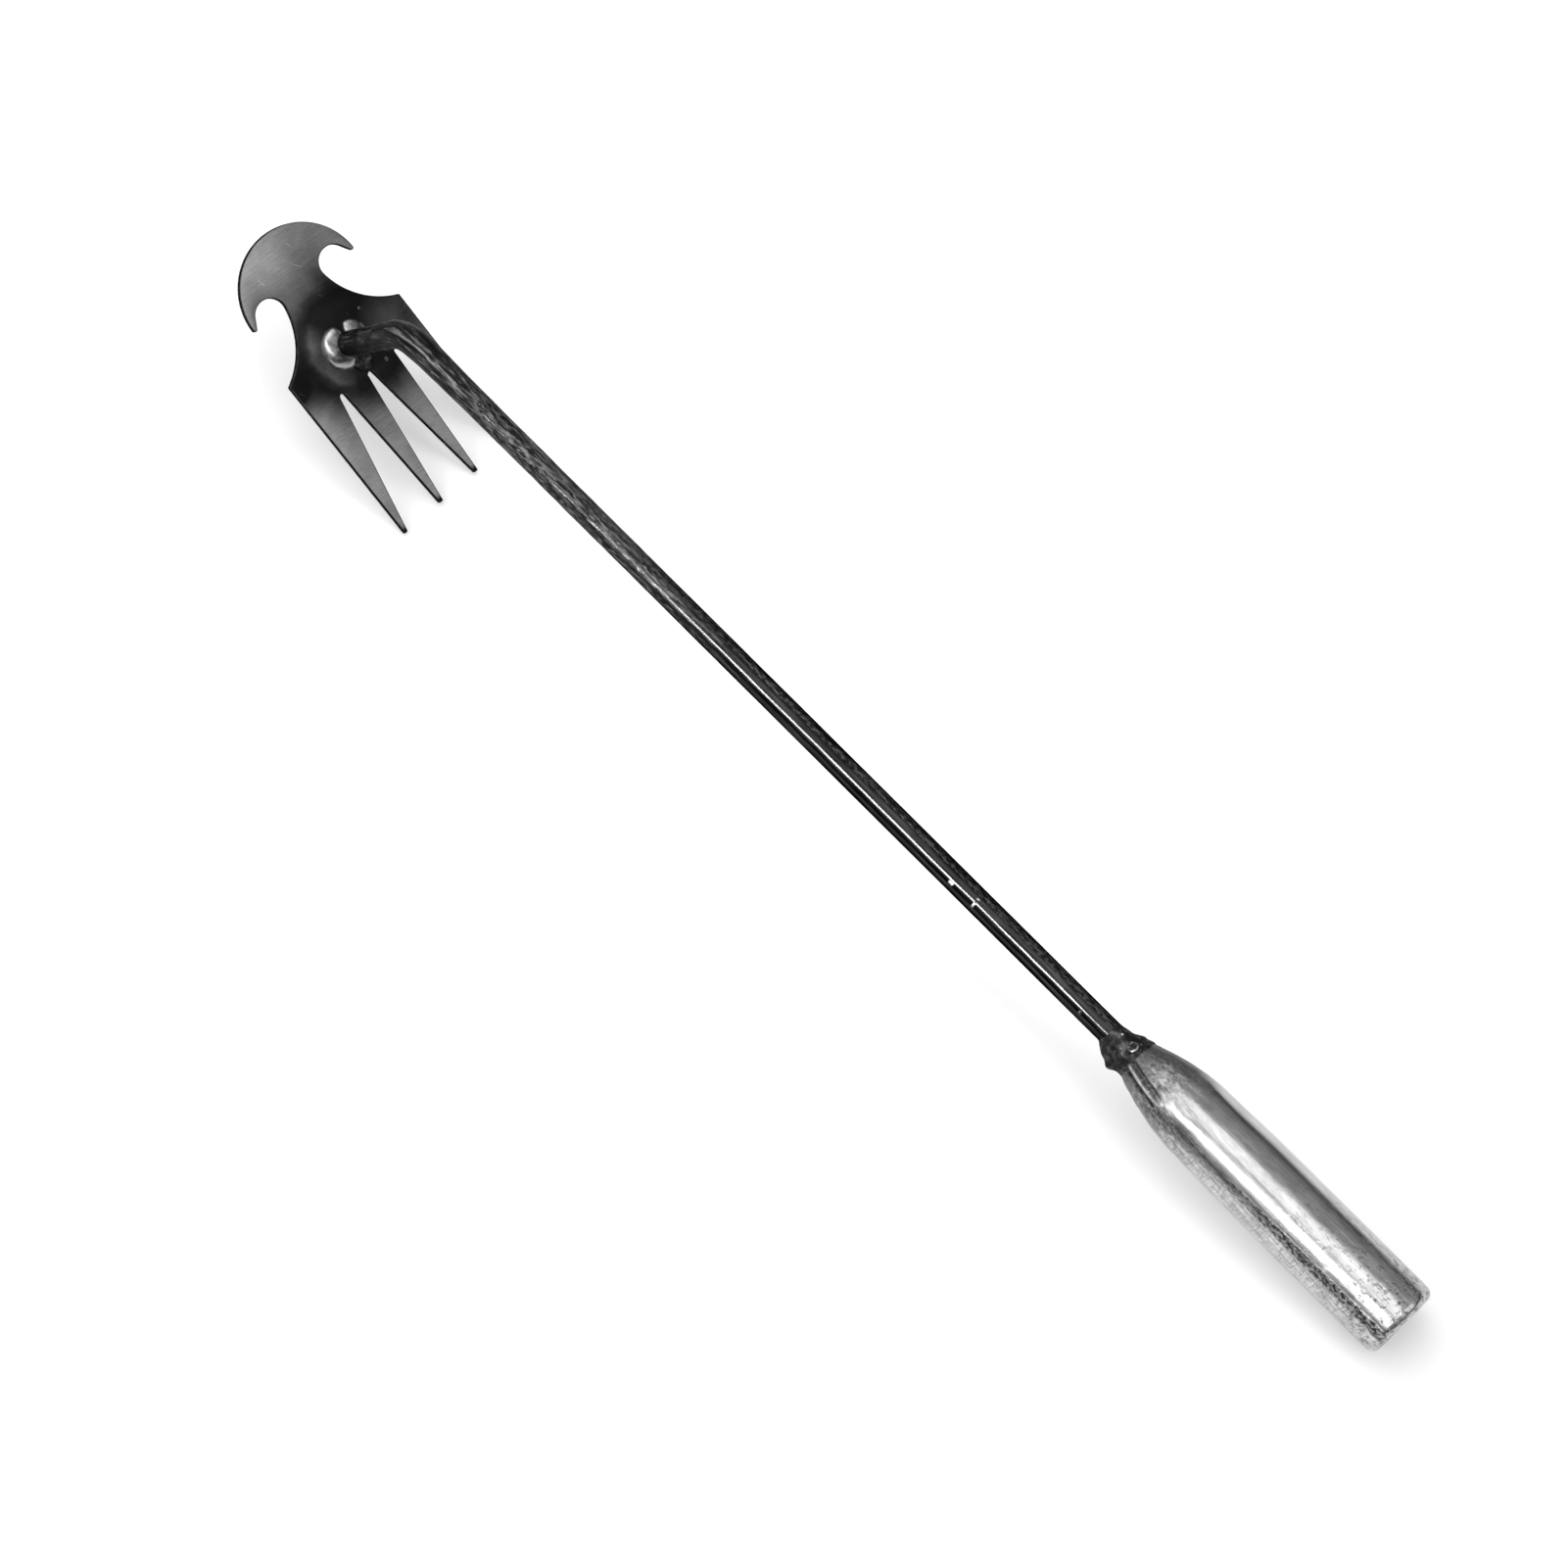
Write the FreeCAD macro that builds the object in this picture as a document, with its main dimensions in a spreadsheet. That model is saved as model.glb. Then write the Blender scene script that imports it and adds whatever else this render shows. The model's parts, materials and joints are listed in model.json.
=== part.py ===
import FreeCAD, Part
import math
import os
import Sketcher
from FreeCAD import Placement, Rotation, Vector

# A welded hand cultivator lying on the ground as it is laid down: the four tine tips and the rim
# of the handle socket touch the floor, the gooseneck arches over the head.
#
# Three frames are used. The head frame has its origin where the rod meets the head, X towards the
# tine tips and Z out of the head's upper face. The fan frame is the head frame moved back to the
# point where the centre lines of the three gaps meet. The socket frame has its origin at the nose of
# the handle socket and X along the socket towards its mouth.

SIZES = {
    # head, cut from flat sheet
    "sheet_thickness": 3.0,
    "tine_reach": 71.4,          # foot of the rod to the tine tips
    "tips_half_width": 29.1,     # centre line to the outer side of the outer tines at the tips
    "shoulder_back": 1.5,        # shoulder points behind the foot of the rod
    "shoulder_half_width": 29.2,
    "crescent_back": 26.5,       # centre of the round blade behind the foot of the rod
    "crescent_radius": 26.4,
    "hook_back": 27.2,           # centre of each hook's blunt end behind the foot of the rod
    "hook_radius": 0.85,
    "notch_back": 27.3,          # centre of each notch behind the foot of the rod
    "notch_out": 16.8,
    "notch_radius": 6.6,
    "waist_radius": 33.0,
    # three tapering gaps that part the four tines
    "gap_start": 14.1,           # foot of the rod to the bottom of the gaps
    "gap_root_radius": 1.2,
    "gap_half_taper": 7.5,       # degrees, each side of a gap against its centre line
    "gap_fan": 4.4,              # degrees between neighbouring gaps
    "fan_reach": 188.0,          # fan point to the bottom of the gaps
    "gap_overrun": 3.0,          # the cut runs this far past the tips and past the sheet's lower face
    # rod with its gooseneck
    "rod_radius": 5.0,
    "neck_straight": 56.5,
    "bend_radius": 18.0,
    "bend_turn": 66.1,           # degrees
    "rod_straight": 411.8,
    # handle socket, a tube with its nose forged down onto the rod
    "socket_length": 138.5,
    "socket_radius": 15.9,
    "socket_neck_radius": 15.2,  # where the straight part meets the nose
    "socket_bore": 13.4,
    "bore_length": 98.0,
    "nose_length": 31.5,
    "nose_tip_radius": 7.9,
    "nose_hole_radius": 5.2,
    "nose_hole_length": 8.0,     # straight hole round the rod before the nose widens inside
    "nose_bulge": 1.3,           # how far the nose swells past a straight cone
    "rim_rounding": 4.0,
    "tang_depth": 36.0,          # rod inside the socket
    "slit_length": 19.0,
    "slit_width": 2.0,
    # weld beads
    "bead_leg": 4.6,             # along the head
    "bead_rise": 4.0,            # up the rod
    "collar_length": 14.0,
    "collar_radius": 7.8,
}

# How far each bead's crown stands out: the head beads as a share of the way to the corner of their
# legs, the collar's as a share of its length from the nose.
BEAD_CROWN = 0.66
COLLAR_CROWN = 0.42

# Angular place of each bead around the rod, in degrees from the tine side: start and span.
HEAD_BEADS = {
    "head_weld_front": (190.0, 125.0),
    "head_weld_top": (78.0, 76.0),
    "head_weld_rear": (-45.0, 115.0),
}

# Position of the slit around the socket, in degrees from its upper side.
SLIT_ANGLE = 55.0

# Weld droplets: distance from the gooseneck's corner, degrees around the rod from its upper side, radius.
ROD_DROPLETS = [(41.0, 12.0, 0.9), (306.0, 20.0, 0.7), (362.0, 48.0, 0.8)]

# Weld droplets on the head: along X, along Y, radius.
HEAD_DROPLETS = [(14.6, 8.9, 0.8), (-7.4, 12.8, 0.6)]


def add_sheet(document):
    sheet = document.addObject("Spreadsheet::Sheet", "sizes")
    for row, (alias, value) in enumerate(SIZES.items(), start=1):
        sheet.set("A%d" % row, alias)
        sheet.set("B%d" % row, str(value))
        sheet.setAlias("B%d" % row, alias)
    document.recompute()
    return sheet


def add_body(document, name):
    body = document.addObject("PartDesign::Body", name)
    body.Label = name
    return body


def add_sketch(body, name, plane, offset=None):
    sketch = body.newObject("Sketcher::SketchObject", name)
    support = [item for item in body.Origin.OriginFeatures if item.Role == plane][0]
    sketch.AttachmentSupport = [(support, "")]
    sketch.MapMode = "FlatFace"
    if offset is not None:
        sketch.AttachmentOffset = offset
    return sketch


def drive(sketch, kind, references, value, expression):
    """Add a sketch dimension whose size is read from the sheet."""
    index = sketch.addConstraint(Sketcher.Constraint(kind, *references, value))
    sketch.setExpression("Constraints[%d]" % index, expression)


def join(sketch, kind, pairs):
    for pair in pairs:
        sketch.addConstraint(Sketcher.Constraint(kind, *pair))


def arc(centre, radius, start, end):
    circle = Part.Circle(centre, Vector(0, 0, 1), radius)
    return Part.ArcOfCircle(circle, start, end)


def line(first, second):
    return Part.LineSegment(first, second)


def polar(centre, radius, angle):
    return centre + Vector(radius * math.cos(angle), radius * math.sin(angle), 0)


def fan_shift(sheet):
    """Distance from the fan point to the foot of the rod."""
    return sheet.fan_reach - sheet.gap_start


def waist_centre(sheet, notch, shoulder):
    """Centre of the waist arc, which touches the notch arc and ends at the shoulder."""
    inner = sheet.waist_radius - sheet.notch_radius
    span = shoulder - notch
    along = (inner ** 2 - sheet.waist_radius ** 2 + span.Length ** 2) / (2 * span.Length)
    across = math.sqrt(inner ** 2 - along ** 2)
    unit = Vector(span).normalize()
    return notch + unit * along + Vector(-unit.y, unit.x, 0) * across


def inside_turn(hook, hook_radius, notch, notch_radius):
    """Direction square to the straight inside of a hook, which touches its blunt end and the notch."""
    span = hook - notch
    return math.atan2(span.y, span.x) + math.acos((hook_radius + notch_radius) / span.Length)


def add_head_outline(body, sheet):
    """Half of the head's outline, from the crescent's back to the tine tips."""
    foot = fan_shift(sheet)
    crescent = Vector(foot - sheet.crescent_back, 0, 0)
    hook_reach = sheet.crescent_radius - sheet.hook_radius
    hook_turn = math.acos((sheet.crescent_back - sheet.hook_back) / hook_reach)
    hook = polar(crescent, hook_reach, hook_turn)
    notch = Vector(foot - sheet.notch_back, sheet.notch_out, 0)
    inside = inside_turn(hook, sheet.hook_radius, notch, sheet.notch_radius)
    shoulder = Vector(foot - sheet.shoulder_back, sheet.shoulder_half_width, 0)
    tip = Vector(foot + sheet.tine_reach, sheet.tips_half_width, 0)
    waist = waist_centre(sheet, notch, shoulder)
    touch = math.atan2(notch.y - waist.y, notch.x - waist.x)
    shoulder_turn = math.atan2(shoulder.y - waist.y, shoulder.x - waist.x)

    sketch = add_sketch(body, "head_outline", "XY_Plane")
    back = crescent - Vector(sheet.crescent_radius, 0, 0)
    sketch.addGeometry(arc(crescent, sheet.crescent_radius, hook_turn, math.pi))
    sketch.addGeometry(arc(hook, sheet.hook_radius, inside - math.pi, hook_turn))
    sketch.addGeometry(arc(notch, sheet.notch_radius, inside, touch + 2 * math.pi))
    sketch.addGeometry(arc(waist, sheet.waist_radius, touch, shoulder_turn))
    sketch.addGeometry(line(shoulder, tip))
    sketch.addGeometry(line(tip, Vector(tip.x, 0, 0)))
    sketch.addGeometry(line(Vector(tip.x, 0, 0), back))
    hook_end = polar(hook, sheet.hook_radius, inside - math.pi)
    sketch.addGeometry(line(hook_end, polar(notch, sheet.notch_radius, inside)))
    join(sketch, "Coincident", [(3, 2, 4, 1), (4, 2, 5, 1), (5, 2, 6, 1), (6, 2, 0, 2)])
    join(sketch, "Tangent", [(0, 1, 1, 2), (1, 1, 7, 1), (2, 1, 7, 2), (2, 2, 3, 1)])
    join(sketch, "Vertical", [(5,)])
    join(sketch, "PointOnObject", [(0, 3, -1), (5, 2, -1), (0, 2, -1)])
    to_foot = "sizes.fan_reach - sizes.gap_start"
    drive(sketch, "Radius", (0,), sheet.crescent_radius, "sizes.crescent_radius")
    drive(sketch, "Radius", (1,), sheet.hook_radius, "sizes.hook_radius")
    drive(sketch, "Radius", (2,), sheet.notch_radius, "sizes.notch_radius")
    drive(sketch, "Radius", (3,), sheet.waist_radius, "sizes.waist_radius")
    drive(sketch, "DistanceX", (-1, 1, 0, 3), crescent.x, to_foot + " - sizes.crescent_back")
    drive(sketch, "DistanceX", (-1, 1, 1, 3), hook.x, to_foot + " - sizes.hook_back")
    drive(sketch, "DistanceX", (-1, 1, 2, 3), notch.x, to_foot + " - sizes.notch_back")
    drive(sketch, "DistanceY", (-1, 1, 2, 3), notch.y, "sizes.notch_out")
    drive(sketch, "DistanceX", (-1, 1, 4, 1), shoulder.x, to_foot + " - sizes.shoulder_back")
    drive(sketch, "DistanceY", (-1, 1, 4, 1), shoulder.y, "sizes.shoulder_half_width")
    drive(sketch, "DistanceX", (-1, 1, 4, 2), tip.x, to_foot + " + sizes.tine_reach")
    drive(sketch, "DistanceY", (-1, 1, 4, 2), tip.y, "sizes.tips_half_width")
    return sketch


def add_gap_sketch(body, sheet, name, turn):
    """One tapering gap with a round bottom, turned about the fan point."""
    rotation = Rotation(Vector(0, 0, 1), turn)
    sketch = add_sketch(body, name, "XY_Plane", Placement(Vector(), rotation))
    radius = sheet.gap_root_radius
    centre = Vector(sheet.fan_reach + radius, 0, 0)
    side = math.radians(90 + sheet.gap_half_taper)
    upper = polar(centre, radius, side)
    lower = polar(centre, radius, -side)
    end = fan_shift(sheet) + sheet.tine_reach + sheet.gap_overrun
    widening = math.tan(math.radians(sheet.gap_half_taper)) * (end - upper.x)
    far_upper = Vector(end, upper.y + widening, 0)
    far_lower = Vector(end, lower.y - widening, 0)
    sketch.addGeometry(arc(centre, radius, side, 2 * math.pi - side))
    sketch.addGeometry(line(lower, far_lower))
    sketch.addGeometry(line(far_lower, far_upper))
    sketch.addGeometry(line(far_upper, upper))
    join(sketch, "Tangent", [(0, 2, 1, 1), (0, 1, 3, 2)])
    join(sketch, "Coincident", [(1, 2, 2, 1), (2, 2, 3, 1)])
    join(sketch, "PointOnObject", [(0, 3, -1)])
    join(sketch, "Symmetric", [(1, 2, 3, 1, -1)])
    drive(sketch, "Radius", (0,), radius, "sizes.gap_root_radius")
    drive(sketch, "DistanceX", (-1, 1, 0, 3), centre.x, "sizes.fan_reach + sizes.gap_root_radius")
    reach = "sizes.fan_reach - sizes.gap_start + sizes.tine_reach + sizes.gap_overrun"
    drive(sketch, "DistanceX", (-1, 1, 1, 2), end, reach)
    drive(sketch, "Angle", (1, 1, 3, 2), math.radians(2 * sheet.gap_half_taper), "2 * sizes.gap_half_taper")
    return sketch


def add_head(document, sheet):
    """Crescent blade, waist, shoulders and four tines, cut from one flat sheet."""
    body = add_body(document, "head_plate")
    pad = body.newObject("PartDesign::Pad", "half_sheet")
    pad.Profile = add_head_outline(body, sheet)
    pad.setExpression("Length", "sizes.sheet_thickness")
    pad.Reversed = True
    document.recompute()

    mirrored = body.newObject("PartDesign::Mirrored", "whole_sheet")
    mirrored.Originals = [pad]
    mirrored.MirrorPlane = ([item for item in body.Origin.OriginFeatures if item.Role == "XZ_Plane"][0], [""])
    body.Tip = mirrored
    document.recompute()

    for step, name in ((-1, "left_gap"), (0, "middle_gap"), (1, "right_gap")):
        pocket = body.newObject("PartDesign::Pocket", name)
        pocket.Profile = add_gap_sketch(body, sheet, name + "_outline", step * sheet.gap_fan)
        pocket.setExpression("Length", "sizes.sheet_thickness + sizes.gap_overrun")
        body.Tip = pocket
        document.recompute()
    return body


def add_rod(document, sheet):
    """Round bar: up from the head, over the gooseneck and into the socket's nose."""
    body = add_body(document, "neck_rod")
    section = add_sketch(body, "rod_section", "XY_Plane")
    section.addGeometry(Part.Circle(Vector(), Vector(0, 0, 1), sheet.rod_radius))
    section.addConstraint(Sketcher.Constraint("Coincident", 0, 3, -1, 1))
    drive(section, "Radius", (0,), sheet.rod_radius, "sizes.rod_radius")

    path = add_sketch(body, "rod_path", "XZ_Plane")
    turn = math.radians(sheet.bend_turn)
    centre = Vector(sheet.bend_radius, sheet.neck_straight, 0)
    bend_end = polar(centre, sheet.bend_radius, math.pi - turn)
    far_end = bend_end + Vector(math.sin(turn), math.cos(turn), 0) * sheet.rod_straight
    path.addGeometry(line(Vector(), Vector(0, sheet.neck_straight, 0)))
    path.addGeometry(arc(centre, sheet.bend_radius, math.pi - turn, math.pi))
    path.addGeometry(line(bend_end, far_end))
    join(path, "Coincident", [(0, 1, -1, 1)])
    join(path, "Vertical", [(0,)])
    join(path, "Tangent", [(0, 2, 1, 2), (1, 1, 2, 1)])
    drive(path, "Distance", (0,), sheet.neck_straight, "sizes.neck_straight")
    drive(path, "Radius", (1,), sheet.bend_radius, "sizes.bend_radius")
    drive(path, "Distance", (2,), sheet.rod_straight, "sizes.rod_straight")
    drive(path, "Angle", (-1, 1, 2, 1), math.pi / 2 - turn, "90 - sizes.bend_turn")
    document.recompute()

    pipe = body.newObject("PartDesign::AdditivePipe", "rod_bar")
    pipe.Profile = section
    pipe.Spine = (path, ["Edge1", "Edge2", "Edge3"])
    body.Tip = pipe
    document.recompute()
    return body


def nose_arc(sheet):
    """Outline of the nose: an arc from its tip to the straight part that swells past a cone."""
    tip = Vector(0, sheet.nose_tip_radius, 0)
    neck = Vector(sheet.nose_length, sheet.socket_neck_radius, 0)
    chord = neck - tip
    outward = Vector(-chord.y, chord.x, 0).normalize()
    middle = (tip + neck) * 0.5 + outward * sheet.nose_bulge
    return Part.Arc(tip, middle, neck)


def add_socket(document, sheet):
    """Handle socket: a tube whose front end is slit and forged down onto the rod."""
    body = add_body(document, "handle_tube")
    sketch = add_sketch(body, "socket_profile", "XZ_Plane")
    rim_centre = Vector(sheet.socket_length - sheet.rim_rounding, sheet.socket_radius - sheet.rim_rounding, 0)
    rim_turn = math.asin((sheet.socket_bore - rim_centre.y) / sheet.rim_rounding)
    mouth = polar(rim_centre, sheet.rim_rounding, rim_turn)
    corners = {
        "tip": Vector(0, sheet.nose_tip_radius, 0),
        "neck": Vector(sheet.nose_length, sheet.socket_neck_radius, 0),
        "rim_side": Vector(rim_centre.x, sheet.socket_radius, 0),
        "bore": mouth - Vector(sheet.bore_length, 0, 0),
        "hole_in": Vector(sheet.nose_hole_length, sheet.nose_hole_radius, 0),
        "hole_out": Vector(0, sheet.nose_hole_radius, 0),
    }
    sketch.addGeometry(nose_arc(sheet))
    sketch.addGeometry(line(corners["neck"], corners["rim_side"]))
    sketch.addGeometry(arc(rim_centre, sheet.rim_rounding, rim_turn, math.pi / 2))
    sketch.addGeometry(line(mouth, corners["bore"]))
    sketch.addGeometry(line(corners["bore"], corners["hole_in"]))
    sketch.addGeometry(line(corners["hole_in"], corners["hole_out"]))
    sketch.addGeometry(line(corners["hole_out"], corners["tip"]))
    # The nose arc is drawn clockwise, so the sketch keeps its start at the neck and its end at the tip.
    join(sketch, "Coincident", [(0, 1, 1, 1), (1, 2, 2, 2), (2, 1, 3, 1), (3, 2, 4, 1), (4, 2, 5, 1),
                                (5, 2, 6, 1), (6, 2, 0, 2)])
    join(sketch, "Vertical", [(6,)])
    join(sketch, "Horizontal", [(3,), (5,)])
    join(sketch, "PointOnObject", [(5, 2, -2)])
    drive(sketch, "DistanceX", (-1, 1, 2, 3), rim_centre.x, "sizes.socket_length - sizes.rim_rounding")
    drive(sketch, "DistanceY", (-1, 1, 2, 3), rim_centre.y, "sizes.socket_radius - sizes.rim_rounding")
    drive(sketch, "Radius", (2,), sheet.rim_rounding, "sizes.rim_rounding")
    drive(sketch, "DistanceY", (-1, 1, 3, 1), sheet.socket_bore, "sizes.socket_bore")
    drive(sketch, "DistanceX", (3, 2, 3, 1), sheet.bore_length, "sizes.bore_length")
    drive(sketch, "DistanceY", (-1, 1, 6, 2), sheet.nose_tip_radius, "sizes.nose_tip_radius")
    drive(sketch, "DistanceY", (-1, 1, 5, 2), sheet.nose_hole_radius, "sizes.nose_hole_radius")
    drive(sketch, "DistanceX", (5, 2, 5, 1), sheet.nose_hole_length, "sizes.nose_hole_length")
    drive(sketch, "DistanceX", (-1, 1, 1, 1), sheet.nose_length, "sizes.nose_length")
    drive(sketch, "DistanceY", (-1, 1, 1, 1), sheet.socket_neck_radius, "sizes.socket_neck_radius")
    drive(sketch, "DistanceX", (-1, 1, 1, 2), rim_centre.x, "sizes.socket_length - sizes.rim_rounding")
    document.recompute()

    turned = body.newObject("PartDesign::Revolution", "turned_tube")
    turned.Profile = sketch
    turned.ReferenceAxis = (sketch, ["H_Axis"])
    turned.Angle = 360
    body.Tip = turned
    document.recompute()

    slit = body.newObject("PartDesign::Pocket", "nose_slit")
    slit.Profile = add_slit_sketch(body, sheet)
    slit.setExpression("Length", "sizes.socket_radius")
    slit.Reversed = True
    body.Tip = slit
    document.recompute()
    return body


def add_slit_sketch(body, sheet):
    rotation = Rotation(Vector(1, 0, 0), SLIT_ANGLE)
    sketch = add_sketch(body, "slit_outline", "XY_Plane", Placement(Vector(), rotation))
    half = sheet.slit_width / 2
    front = -sheet.slit_width
    back = sheet.slit_length
    sketch.addGeometry(line(Vector(front, -half, 0), Vector(back, -half, 0)))
    sketch.addGeometry(arc(Vector(back, 0, 0), half, -math.pi / 2, math.pi / 2))
    sketch.addGeometry(line(Vector(back, half, 0), Vector(front, half, 0)))
    sketch.addGeometry(line(Vector(front, half, 0), Vector(front, -half, 0)))
    join(sketch, "Tangent", [(0, 2, 1, 1), (1, 2, 2, 1)])
    join(sketch, "Coincident", [(2, 2, 3, 1), (3, 2, 0, 1)])
    join(sketch, "Vertical", [(3,)])
    join(sketch, "Horizontal", [(0,)])
    join(sketch, "PointOnObject", [(1, 3, -1)])
    drive(sketch, "Radius", (1,), half, "sizes.slit_width / 2")
    drive(sketch, "DistanceX", (-1, 1, 1, 3), back, "sizes.slit_length")
    drive(sketch, "DistanceX", (0, 1, -1, 1), -front, "sizes.slit_width")
    return sketch


def add_head_bead(document, sheet, name, span):
    """Fillet weld between the rod and the head, swept part of the way round the rod."""
    body = add_body(document, name)
    sketch = add_sketch(body, name + "_section", "XZ_Plane")
    heel = Vector(sheet.rod_radius, 0, 0)
    toe = heel + Vector(sheet.bead_leg, 0, 0)
    top = heel + Vector(0, sheet.bead_rise, 0)
    crown = heel + Vector(sheet.bead_leg, sheet.bead_rise, 0) * BEAD_CROWN
    sketch.addGeometry(line(heel, toe))
    sketch.addGeometry(Part.Arc(toe, crown, top))
    sketch.addGeometry(line(top, heel))
    join(sketch, "Coincident", [(0, 2, 1, 1), (1, 2, 2, 1), (2, 2, 0, 1)])
    join(sketch, "Vertical", [(2,)])
    join(sketch, "PointOnObject", [(0, 1, -1), (0, 2, -1)])
    drive(sketch, "DistanceX", (-1, 1, 0, 1), sheet.rod_radius, "sizes.rod_radius")
    drive(sketch, "DistanceX", (0, 1, 0, 2), sheet.bead_leg, "sizes.bead_leg")
    drive(sketch, "DistanceY", (0, 1, 2, 1), sheet.bead_rise, "sizes.bead_rise")
    document.recompute()

    bead = body.newObject("PartDesign::Revolution", name + "_bead")
    bead.Profile = sketch
    bead.ReferenceAxis = (sketch, ["V_Axis"])
    bead.Angle = span
    body.Tip = bead
    document.recompute()
    return body


def add_socket_weld(document, sheet):
    """Collar of weld metal that closes the socket's nose onto the rod."""
    body = add_body(document, "socket_weld")
    sketch = add_sketch(body, "collar_profile", "XZ_Plane")
    front = Vector(-sheet.collar_length, sheet.rod_radius, 0)
    outer = Vector(0, sheet.nose_tip_radius, 0)
    inner = Vector(0, sheet.rod_radius, 0)
    crown = Vector(-sheet.collar_length * COLLAR_CROWN, sheet.collar_radius, 0)
    sketch.addGeometry(Part.Arc(front, crown, outer))
    sketch.addGeometry(line(outer, inner))
    sketch.addGeometry(line(inner, front))
    join(sketch, "Coincident", [(0, 1, 1, 1), (1, 2, 2, 1), (2, 2, 0, 2)])
    join(sketch, "PointOnObject", [(1, 1, -2), (1, 2, -2)])
    join(sketch, "Horizontal", [(2,)])
    drive(sketch, "DistanceY", (-1, 1, 1, 1), sheet.nose_tip_radius, "sizes.nose_tip_radius")
    drive(sketch, "DistanceY", (-1, 1, 1, 2), sheet.rod_radius, "sizes.rod_radius")
    drive(sketch, "DistanceX", (2, 2, 2, 1), sheet.collar_length, "sizes.collar_length")
    document.recompute()

    collar = body.newObject("PartDesign::Revolution", "collar")
    collar.Profile = sketch
    collar.ReferenceAxis = (sketch, ["H_Axis"])
    collar.Angle = 360
    body.Tip = collar
    document.recompute()
    return body


def droplet(radius, placement):
    """Half a ball of spattered metal, flat side on the surface it stuck to."""
    ball = Part.makeSphere(radius, Vector(), Vector(0, 0, 1), 0, 90, 360)
    ball.Placement = placement
    return ball


def add_spatter(document, sheet):
    """Droplets thrown onto the rod and the head by the welding, kept as one group of solids."""
    rod_line = rod_placement(sheet)
    drops = []
    for distance, angle, radius in ROD_DROPLETS:
        along = Placement(Vector(distance, 0, 0), Rotation(Vector(1, 0, 0), angle))
        outward = Placement(Vector(0, 0, sheet.rod_radius), Rotation())
        drops.append(droplet(radius, rod_line * along * outward))
    for x, y, radius in HEAD_DROPLETS:
        drops.append(droplet(radius, Placement(Vector(x, y, 0), Rotation())))
    feature = document.addObject("Part::Feature", "weld_spatter")
    feature.Label = "weld_spatter"
    feature.Shape = Part.makeCompound(drops)
    return feature


def corner_height(sheet):
    """Height above the head of the point where the rod's two straight lines would cross."""
    return sheet.neck_straight + corner_trim(sheet)


def corner_trim(sheet):
    """Length that the bend takes off each straight line at their crossing."""
    return sheet.bend_radius * math.tan(math.radians(sheet.bend_turn / 2))


def rod_placement(sheet):
    """Head frame to a frame at the gooseneck's corner with X along the long straight rod."""
    return Placement(Vector(0, 0, corner_height(sheet)), Rotation(Vector(0, 1, 0), sheet.bend_turn - 90))


def socket_placement(sheet):
    """Head frame to socket frame."""
    nose = corner_trim(sheet) + sheet.rod_straight - sheet.tang_depth
    return rod_placement(sheet) * Placement(Vector(nose, 0, 0), Rotation())


def lying_tilt(sheet):
    """Angle at which the tine tips and the rounded rim of the socket touch one floor."""
    tip = Vector(sheet.tine_reach, 0, -sheet.sheet_thickness)
    rim = Vector(sheet.socket_length - sheet.rim_rounding, 0, sheet.rim_rounding - sheet.socket_radius)
    reach = socket_placement(sheet).multVec(rim) - tip
    return math.degrees(math.atan2(reach.z, reach.x) - math.asin(sheet.rim_rounding / reach.Length))


def lay_down(document, sheet, bodies):
    """Turn the tool from the head frame to its lying place and centre it over the origin."""
    lying = Placement(Vector(), Rotation(Vector(0, 1, 0), lying_tilt(sheet)))
    for body in bodies:
        body.Placement = lying * body.Placement
    document.recompute()
    box = FreeCAD.BoundBox()
    for body in bodies:
        box.add(body.Shape.optimalBoundingBox())
    to_origin = Placement(Vector(-box.Center.x, -box.Center.y, -box.ZMin), Rotation())
    for body in bodies:
        body.Placement = to_origin * body.Placement
    document.recompute()


def check_and_write(document, bodies):
    for item in document.Objects:
        if "Invalid" in item.State or "Error" in item.State:
            raise RuntimeError("%s did not build: %s" % (item.Label, item.State))
    os.makedirs("parts", exist_ok=True)
    for body in bodies:
        shape = body.Shape
        if shape.isNull() or not shape.isValid():
            raise RuntimeError("%s has no valid shape" % body.Label)
        shape.exportStep("parts/%s.step" % body.Label)


def main():
    document = FreeCAD.newDocument("hand_cultivator")
    sheet = add_sheet(document)
    head = add_head(document, sheet)
    head.Placement = Placement(Vector(-fan_shift(sheet), 0, 0), Rotation())
    rod = add_rod(document, sheet)
    socket = add_socket(document, sheet)
    socket.Placement = socket_placement(sheet)
    collar = add_socket_weld(document, sheet)
    collar.Placement = socket_placement(sheet)
    bodies = [head, rod, socket, collar]
    for name, (start, span) in HEAD_BEADS.items():
        bead = add_head_bead(document, sheet, name, span)
        bead.Placement = Placement(Vector(), Rotation(Vector(0, 0, 1), start))
        bodies.append(bead)
    bodies.append(add_spatter(document, sheet))
    lay_down(document, sheet, bodies)
    check_and_write(document, bodies)


main()
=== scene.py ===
import json
import math

import bmesh
import bpy
import numpy as np
from mathutils import Matrix, Vector, noise


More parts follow.
